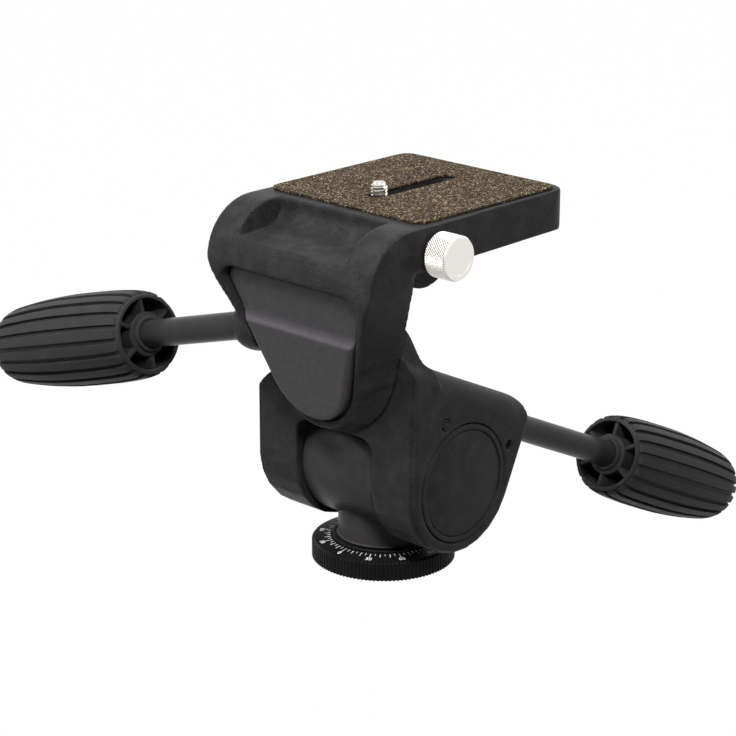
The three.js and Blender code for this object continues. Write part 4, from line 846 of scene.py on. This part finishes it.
@dataclass
class Yoke:
    """The tilting yoke with its round side covers and small fixings."""

    voxel: float = 0.7
    passes: int = 7
    half: float = 40.7
    cover_radius: float = 22.6
    lip: float = 2.1
    cover_low: float = 38.2
    groove_place: float = 39.2
    groove_half: float = 0.8
    groove_depth: float = 1.1
    edge_steepness: float = 0.7

    def build(self, frame: dict) -> None:
        """Builds the yoke's casting, its covers and its fixings."""
        casting = cast_copy(frame, "yoke_casting", "yoke_shell", self.voxel, self.passes)
        self.press_grooves(casting)
        settle(casting, Body.YOKE, CAST, ["yoke_casting"])
        for side, angle in (("right", 90), ("left", -90)):
            cover = self.cover(f"cover_{side}")
            place(cover, shifted(0, 0, TILT_HEIGHT) @ turn(angle, "Y"))
            settle(cover, Body.YOKE, COVER, [f"side_cover_{side}"])
        settle(self.pin_cap(), Body.YOKE, COVER, ["guide_pin_cap"])
        settle_copy(frame, "set_screw", "smooth", Body.YOKE, BLACKED)
        settle_copy(frame, "rear_gland", "smooth", Body.YOKE, MOULDED)
        settle_copy(frame, "side_friction_disc", "smooth", Body.YOKE, STEEL)

    def pin_cap(self) -> Piece:
        """Returns the small round cap, with a ring groove in its face."""
        low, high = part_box("guide_pin_cap")
        radius = (high.y - low.y) / 2 / MM
        foot, face = low.x / MM, high.x / MM
        cap = turned("pin_cap_ringed", [
            (radius, foot), (radius, face - 0.15), (radius - 0.15, face), (radius - 0.5, face),
            (radius - 0.6, face - 0.4), (radius - 0.95, face - 0.4), (radius - 1.05, face - 0.1),
            (radius - 1.15, face - 0.02), (0.3, face),
        ], segments=48, angle=50)
        place(cap, Matrix.Translation((0, (low.y + high.y) / 2, (low.z + high.z) / 2)) @ turn(90, "Y"))
        return cap

    def press_grooves(self, casting: Piece) -> None:
        """Presses the thin groove that runs along each cheek's edge into the casting's skin."""
        moves: list[tuple[bpy.types.MeshVertex, Vector]] = []
        for vertex in casting.data.vertices:
            off = (abs(vertex.co.x) / MM - self.groove_place) / self.groove_half
            if abs(off) < 1.0 and abs(vertex.normal.x) < self.edge_steepness:
                moves.append((vertex, vertex.normal * (-self.groove_depth * (1.0 - off * off) * MM)))
        for vertex, move in moves:
            vertex.co += move
        casting.data.update()

    def cover(self, name: str) -> Piece:
        """Returns one cover: a disc inside a raised ring, with a groove between them."""
        face, rim = self.half, self.cover_radius
        groove = rim - self.lip
        return turned(name, [
            (rim, self.cover_low), (rim, face - 0.5), (rim - 0.15, face - 0.15), (rim - 0.5, face),
            (groove + 0.5, face), (groove + 0.15, face - 0.15), (groove, face - 0.9),
            (groove - 0.25, face - 0.9), (groove - 0.35, face - 0.5), (groove - 0.75, face - 0.35),
            (4.0, face - 0.32),
        ], segments=160, angle=40)


@dataclass
class GripHandle:
    """One handle: its rod and its ribbed grip, built along Z from the foot of its clamp.

    The foot is a point on the axis that the handle clamps, the rod stands off it, and it runs along
    the heading, which falls by some degrees.
    """

    name: str
    body: Body
    foot: Triple
    stand_off: float
    heading: tuple[float, float]
    fall: float
    rod_start: float
    grip_start: float
    rod_radius: float = 5.4
    stud_radius: float = 2.9
    rod_depth: float = 30.0
    ribs: int = 20
    per_rib: int = 8
    rib_depth: float = 1.35
    spokes: int = 6
    spoke_half: float = 0.8
    rim: float = 14.1
    hub: float = 8.7
    length: float = 85.6
    pocket: float = 13.0
    skin: Profile = (
        (15.1, 0.0), (15.5, 0.15), (15.65, 0.45), (15.68, 1.3), (15.75, 1.6), (16.2, 1.8), (16.7, 2.1),
        (16.95, 2.5), (17.15, 3.4), (17.4, 5.0), (17.68, 7.0), (17.92, 10.0), (18.18, 14.0), (18.45, 20.0),
        (18.6, 28.0), (18.68, 36.0), (18.66, 44.0), (18.4, 51.0), (18.0, 58.0), (17.6, 63.5), (17.05, 69.0),
        (16.45, 74.5), (16.0, 78.0), (15.4, 80.6), (14.75, 82.6), (13.7, 84.2), (12.5, 85.2), (11.2, 85.5),
    )
    place_shares: tuple[float, ...] = (0.0, 0.035, 0.14, 0.25, 0.36, 0.395, 0.6, 0.8)
    depth_shares: tuple[float, ...] = (0.0, 0.95, 1.0, 1.0, 0.95, 0.0, 0.0, 0.0)

    def frame_matrix(self) -> Matrix:
        """Returns the matrix that takes the handle's own Z to its rod's axis."""
        fall = math.radians(self.fall)
        east, north = (part * math.cos(fall) for part in self.heading)
        along = Vector((east, north, -math.sin(fall)))
        away = UP - UP.project(along)
        origin = Vector(self.foot) + away.normalized() * self.stand_off
        lean = along.normalized().to_track_quat("Z", "Y").to_matrix().to_4x4()
        return Matrix.Translation(origin * MM) @ lean

    def build(self) -> None:
        """Builds the rod and the grip."""
        matrix = self.frame_matrix()
        rod = self.rod()
        place(rod, matrix)
        settle(rod, self.body, ROD, [f"{self.name}_rod"])
        grip = self.grip()
        place(grip, matrix @ shifted(0, 0, self.grip_start))
        nodes = [f"{self.name}_{part}" for part in ("grip", "grip_core", "grip_cap")]
        settle(grip, self.body, GRIP, nodes)

    def rod(self) -> Piece:
        """Returns the rod, with its turned-down stud and the end that sits in the grip."""
        radius, stud, start, end = self.rod_radius, self.stud_radius, self.rod_start, self.grip_start
        deep = end + self.rod_depth
        return turned(f"{self.name}_rod_turned", [
            (stud - 0.3, start - 5.5), (stud, start - 5.0), (stud, start), (radius - 0.4, start),
            (radius, start + 0.4), (radius, end - 2.6), (radius, deep), (radius - 0.4, deep + 0.4),
        ], segments=72, angle=40)

    def grip(self) -> Piece:
        """Returns the grip: turned, then its grooves are drawn in, and its spokes are joined on."""
        hub, rim, deep, rod, end = self.hub, self.rim, self.pocket, self.rod_radius, self.length
        inside: Profile = [
            (rod + 0.05, 6.0), (rod + 0.05, -0.9), (rod + 0.35, -1.3), (rod + 1.35, -1.3), (rod + 1.6, -1.0),
            (rod + 1.6, 0.3), (hub - 0.25, 0.5), (hub, 0.8), (hub, deep), (rim, deep), (rim, 0.35),
            (rim + 0.25, 0.0),
        ]
        cap: Profile = [(7.3, end), (7.1, end - 0.4), (6.7, end - 0.4), (6.5, end), (1.5, end)]
        name = f"{self.name}_grip_moulding"
        obj = turned(name, [*inside, *self.skin, *cap], segments=self.ribs * self.per_rib, angle=28)
        self.draw_grooves(obj)
        smooth_shade(obj, 28)
        return join_pieces(name, [obj, *(self.spoke(i) for i in range(self.spokes))])

    def draw_grooves(self, obj: Piece) -> None:
        """Draws the turned grip's skin in along its grooves, so that flat lands stand between them."""
        pitch = 2 * math.pi / self.ribs
        grid = pitch / self.per_rib
        for vertex in obj.data.vertices:
            height = vertex.co.z / MM
            radius = math.hypot(vertex.co.x, vertex.co.y) / MM
            if not any(abs(h - height) < 0.01 and abs(r - radius) < 0.05 for r, h in self.skin):
                continue
            angle = math.atan2(vertex.co.y, vertex.co.x) % (2 * math.pi)
            step = round(angle / grid) % (self.ribs * self.per_rib)
            rib, corner = divmod(step, self.per_rib)
            ramp = self.groove_share(height)
            reach = radius - self.rib_depth * self.depth_shares[corner] * ramp
            plain = step * grid
            final = plain + ((rib + self.place_shares[corner]) * pitch - plain) * min(1.0, ramp * 3)
            vertex.co.x = reach * math.cos(final) * MM
            vertex.co.y = reach * math.sin(final) * MM
        obj.data.update()

    def groove_share(self, height: float) -> float:
        """Returns how deep the grooves are at a height: they start in a round scallop and fade out."""
        rise = min(1.0, max(0.0, (height - 1.5) / 0.9))
        fall = min(1.0, max(0.0, (self.length - height) / 0.6))
        return math.sqrt(rise) * fall

    def spoke(self, number: int) -> Piece:
        """Returns one spoke between the hub and the rim."""
        low, high = (self.hub - 0.4, -self.spoke_half), (self.rim + 0.4, self.spoke_half)
        obj = rounded_slab("spoke", low, high, 0.1, (0.9, self.pocket + 0.5))
        bevel_edges(obj, 0.25)
        smooth_shade(obj)
        place(obj, turn((number + 0.5) * 360 / self.spokes, "Z"))
        return obj


@dataclass
class Bracket:
    """The bracket that carries the platform, with its front plate."""

    voxel: float = 0.7
    passes: int = 9
    plate_voxel: float = 0.45
    plate_passes: int = 4
    flank_steepness: float = 0.78
    flank_passes: int = 150

    def build(self, frame: dict) -> None:
        """Builds the casting, the plate and the ring where the rod enters."""
        casting = cast_copy(frame, "bracket_casting", "bracket_shell", self.voxel, self.passes)
        self.even_flanks(casting)
        settle(casting, Body.BRACKET, CAST, ["bracket_casting"])
        plate = cast_copy(frame, "front_plate", "plate_shell", self.plate_voxel, self.plate_passes)
        settle(plate, Body.BRACKET, PLATE, ["front_plate"])
        settle_copy(frame, "side_gland", "smooth", Body.BRACKET, MOULDED)

    def even_flanks(self, casting: Piece) -> None:
        """Evens out the facets of the casting's two flanks and leaves its edges as they are."""
        flanks = casting.vertex_groups.new(name="flanks")
        steep = [v.index for v in casting.data.vertices if abs(v.normal.x) > self.flank_steepness]
        flanks.add(steep, 1.0, "REPLACE")
        modify(casting, "SMOOTH", factor=0.5, iterations=self.flank_passes, vertex_group=flanks.name)
        casting.vertex_groups.clear()


@dataclass
class Platform:
    """What lies on the platform: the mat with its slot and the camera screw."""

    half: float = 38.4
    front: float = 22.6
    rear: float = 53.3
    corner: float = 5.0
    low: float = 141.94
    high: float = 142.84
    slot_half: float = 3.5
    slot_front: float = 7.5
    slot_rear: float = 37.4
    screw_radius: float = 3.1
    screw_place: float = 3.1
    screw_top: float = 147.69
    pitch: float = 1.27
    thread_depth: float = 0.62
    turns: int = 5
    steps: int = 48
    wheel_low: float = 126.94

    def build(self, frame: dict) -> None:
        """Builds the mat, the screw and its wheel."""
        settle(self.mat(), Body.BRACKET, MAT, ["platform_mat"])
        screw = self.screw()
        place(screw, shifted(0, -self.screw_place, 0))
        settle(screw, Body.SCREW, NICKEL, ["camera_screw"])
        wheel = copy_of_node(frame, "screw_wheel", "wheel_moulding")
        bevel_edges(wheel, 0.25)
        smooth_shade(wheel, 30)
        settle(wheel, Body.SCREW, MOULDED, ["screw_wheel"])

    def mat(self) -> Piece:
        """Returns the mat with its slot."""
        low, high = (-self.half, -self.front), (self.half, self.rear)
        obj = rounded_slab("mat_sheet", low, high, self.corner, (self.low, self.high))
        low, high = (-self.slot_half, -self.slot_front), (self.slot_half, self.slot_rear)
        cut_with(obj, rounded_slab("slot", low, high, self.slot_half * 0.999, (self.low - 1, self.high + 1)))
        bevel_edges(obj, 0.22, angle=60)
        smooth_shade(obj)
        return obj

    def screw(self) -> Piece:
        """Returns the camera screw: a core with a chamfered end and a thread wound round it."""
        outer, top = self.screw_radius, self.screw_top
        inner = outer - self.thread_depth
        shank = top - self.turns * self.pitch - 0.4
        core = turned("core", [
            (outer, self.wheel_low), (outer, shank), (inner, shank + 0.5), (inner, top - 0.55),
            (inner - 0.25, top - 0.12), (inner - 0.6, top),
        ], segments=64, angle=40)
        return join_pieces("screw_threaded", [core, self.thread(inner, shank + 0.25)])

    def thread(self, inner: float, start: float) -> Piece:
        """Returns the thread: a ridge's outline on a plane's four corners, wound by a screw modifier.

        Args:
            inner: The radius that the ridge stands on.
            start: The height where the thread begins.

        Returns:
            The thread.
        """
        deselect_all()
        bpy.ops.mesh.primitive_plane_add(size=1, location=(0, 0, 0))
        obj = bpy.context.active_object
        pitch, outer, root = self.pitch, self.screw_radius, inner - 0.15
        corners = ((root, 0.08), (outer, pitch * 0.42), (root, pitch * 0.92), (outer, pitch * 0.58))
        for vertex, (radius, height) in zip(obj.data.vertices, corners):
            vertex.co = (radius * MM, 0, (start + height) * MM)
        with editing(obj):
            bpy.ops.mesh.delete(type="ONLY_FACE")
        modify(obj, "SCREW", axis="Z", screw_offset=pitch * MM, iterations=self.turns - 1, steps=self.steps,
               render_steps=self.steps)
        with editing(obj, "DESELECT"):
            bpy.ops.mesh.select_non_manifold()
            bpy.ops.mesh.edge_face_add()
        tidy_mesh(obj)
        smooth_shade(obj, 30)
        return obj


@dataclass
class LockKnob:
    """The bright knob on the platform's side, with a diamond knurl."""

    centre: Triple = (41.64, *KNOB_AXIS)
    radius: float = 8.3
    length: float = 10.3
    teeth: int = 54
    rows: int = 14
    tooth: float = 0.42
    band: float = 1.0

    def build(self, frame: dict) -> None:
        """Builds the knob and dresses its stud."""
        knob = self.knob()
        place(knob, shifted(*self.centre) @ turn(90, "Y"))
        settle(knob, Body.KNOB, SILVER, ["lock_knob"])
        settle_copy(frame, "lock_stud", "smooth", Body.KNOB, STEEL)

    def knob(self) -> Piece:
        """Returns the knob: turned with many rings, whose corners are drawn in by turns."""
        low, high, radius, face = self.band, self.length - self.band, self.radius, self.length
        rings = [(radius, low + (high - low) * i / self.rows) for i in range(self.rows + 1)]
        obj = turned("knob_knurled", [
            (2.75, 0.0), (radius - 1.2, 0.0), (radius - 0.55, 0.2), (radius - 0.42, low - 0.25), *rings,
            (radius - 0.42, high + 0.25), (radius - 0.5, face - 0.25), (radius - 1.0, face),
            (radius - 2.2, face), (radius - 2.35, face - 0.12), (2.0, face - 0.12),
        ], segments=self.teeth * 2, angle=20)
        step = math.pi / self.teeth
        draw = (radius - self.tooth) / radius
        for vertex in obj.data.vertices:
            row = (vertex.co.z / MM - low) / (high - low) * self.rows
            reach = math.hypot(vertex.co.x, vertex.co.y) / MM
            if abs(reach - radius) > 0.01 or abs(row - round(row)) > 0.01:
                continue
            corner = round(math.atan2(vertex.co.y, vertex.co.x) / step)
            if (corner + round(row)) % 2 == 0:
                vertex.co.x *= draw
                vertex.co.y *= draw
        obj.data.update()
        with editing(obj):
            bpy.ops.mesh.quads_convert_to_tris(quad_method="LONGEST_DIAGONAL", ngon_method="BEAUTY")
        smooth_shade(obj, 10)
        return obj


@dataclass
class Studio:
    """The floor, the light and the camera. Places are in metres and lamps in watts."""

    place: Triple = (0.6026, -0.6414, 0.3672)
    azimuth: float = 43.61
    fall: float = 18.36
    roll: float = 0.14
    lens: float = 120.75
    sensor: float = 36.0
    floor_gap: float = 0.12
    floor_size: float = 12.0
    floor_tone: float = 0.1
    floor_share: float = 0.95
    floor_glow: float = 1.045
    world_light: float = 0.075
    aim: Triple = (0, 0, 0.08)
    lights: tuple[tuple[str, Triple, float, float], ...] = (
        ("key", (-0.3, -0.8, 1.6), 0.5, 21.0),
        ("left", (-1.0, -1.1, 0.8), 0.5, 6.0),
        ("right", (1.0, -0.9, 1.35), 0.4, 22.0),
        ("back", (0.1, 1.2, 1.4), 1.0, 15.0),
    )

    def build(self) -> None:
        """Builds the whole studio."""
        self.floor()
        self.world()
        self.lamps()
        self.camera()

    def floor(self) -> None:
        """Lays a pale floor, low enough that a handle stays above it in every pose."""
        low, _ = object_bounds()
        deselect_all()
        bpy.ops.mesh.primitive_plane_add(size=self.floor_size, location=(0, 0, low.z - self.floor_gap))
        floor = bpy.context.active_object
        floor.name = "studio_floor"
        book = NodeBook("pale_floor")
        book.shader.inputs["Base Color"].default_value = (*[self.floor_tone] * 3, 1)
        book.shader.inputs["Roughness"].default_value = 0.9
        glow = book.node("ShaderNodeEmission", {"Color": (1, 1, 1, 1), "Strength": self.floor_glow})
        share = book.node("ShaderNodeMath", {1: self.floor_share}, operation="MULTIPLY")
        book.link(self.seen_rays(book.tree), share.inputs[0])
        mix = book.node("ShaderNodeMixShader")
        for source, target in (
            (share.outputs[0], mix.inputs["Fac"]),
            (book.shader.outputs["BSDF"], mix.inputs[1]),
            (glow.outputs["Emission"], mix.inputs[2]),
            (mix.outputs["Shader"], book.tree.nodes["Material Output"].inputs["Surface"]),
        ):
            book.link(source, target)
        floor.data.materials.append(book.made)
        floor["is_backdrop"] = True

    def seen_rays(self, tree: bpy.types.NodeTree) -> Socket:
        """Returns a factor that is one for rays that show the backdrop, seen or mirrored."""
        path = tree.nodes.new("ShaderNodeLightPath")
        factor = path.outputs["Is Camera Ray"]
        for kind in ("Is Glossy Ray", "Is Transmission Ray"):
            either = tree.nodes.new("ShaderNodeMath")
            either.operation = "MAXIMUM"
            tree.links.new(factor, either.inputs[0])
            tree.links.new(path.outputs[kind], either.inputs[1])
            factor = either.outputs[0]
        return factor

    def world(self) -> None:
        """Makes a white world whose own light is soft."""
        world = bpy.data.worlds.new("studio_world")
        bpy.context.scene.world = world
        world.use_nodes = True
        tree = world.node_tree
        back = tree.nodes["Background"]
        back.inputs["Color"].default_value = (1, 1, 1, 1)
        strength = tree.nodes.new("ShaderNodeMapRange")
        strength.inputs["To Min"].default_value = self.world_light
        strength.inputs["To Max"].default_value = 1.0
        tree.links.new(self.seen_rays(tree), strength.inputs["Value"])
        tree.links.new(strength.outputs["Result"], back.inputs["Strength"])

    def lamps(self) -> None:
        """Hangs the soft lamps: from above in front, from the left, from the right and from behind."""
        for name, spot, size, power in self.lights:
            data = bpy.data.lights.new(f"{name}_lamp", "AREA")
            data.shape = "SQUARE"
            data.size = size
            data.energy = power
            lamp = bpy.data.objects.new(f"{name}_lamp", data)
            lamp.location = spot
            lamp.rotation_euler = (Vector(self.aim) - Vector(spot)).to_track_quat("-Z", "Y").to_euler()
            bpy.context.scene.collection.objects.link(lamp)

    def camera(self) -> None:
        """Sets the camera at the photograph's place and angle."""
        azimuth, fall, roll = (math.radians(v) for v in (self.azimuth, self.fall, self.roll))
        right = Vector((math.cos(azimuth), math.sin(azimuth), 0))
        away = Vector((math.sin(azimuth), -math.cos(azimuth), 0))
        back = away * math.cos(fall) + UP * math.sin(fall)
        up = back.cross(right)
        across = right * math.cos(roll) + up * math.sin(roll)
        upward = up * math.cos(roll) - right * math.sin(roll)
        data = bpy.data.cameras.new("photo_camera")
        data.sensor_width = self.sensor
        data.lens = self.lens
        camera = bpy.data.objects.new("photo_camera", data)
        axes = Matrix((across, upward, back)).transposed().to_4x4()
        camera.matrix_world = Matrix.Translation(self.place) @ axes
        bpy.context.scene.collection.objects.link(camera)
        bpy.context.scene.camera = camera


def dress_nodes(frame: dict) -> None:
    """Gives every CAD node the finish of its slot in the record."""
    slots = {part["node"]: part["material_slot"] for part in frame["record"]["subparts"]}
    for name, obj in frame["nodes"].items():
        material = SLOT_FINISHES[slots[name]].material()
        for material_slot in obj.material_slots:
            material_slot.material = material
        if not obj.material_slots:
            obj.data.materials.append(material)


def main() -> None:
    """Builds the head in order."""
    logging.basicConfig(level=logging.INFO, format="%(name)s: %(message)s")
    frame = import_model()
    bpy.context.scene.view_settings.view_transform = "Standard"
    deselect_all()
    dress_nodes(frame)

    PanBase().build(frame)
    TiltDrum().build()
    Yoke().build(frame)
    GripHandle("rear", Body.REAR_HANDLE, foot=(0.0, 0.0, TILT_HEIGHT), stand_off=26.0, heading=(0.0, 1.0),
               fall=25.0, rod_start=17.0, grip_start=139.55).build()
    GripHandle("side", Body.SIDE_HANDLE, foot=(0.0, -34.5, 83.5), stand_off=18.3, heading=(-1.0, 0.0),
               fall=15.9, rod_start=19.0, grip_start=92.2).build()
    Bracket().build(frame)
    Platform().build(frame)
    LockKnob().build(frame)
    Studio().build()


if __name__ == "__main__":
    main()
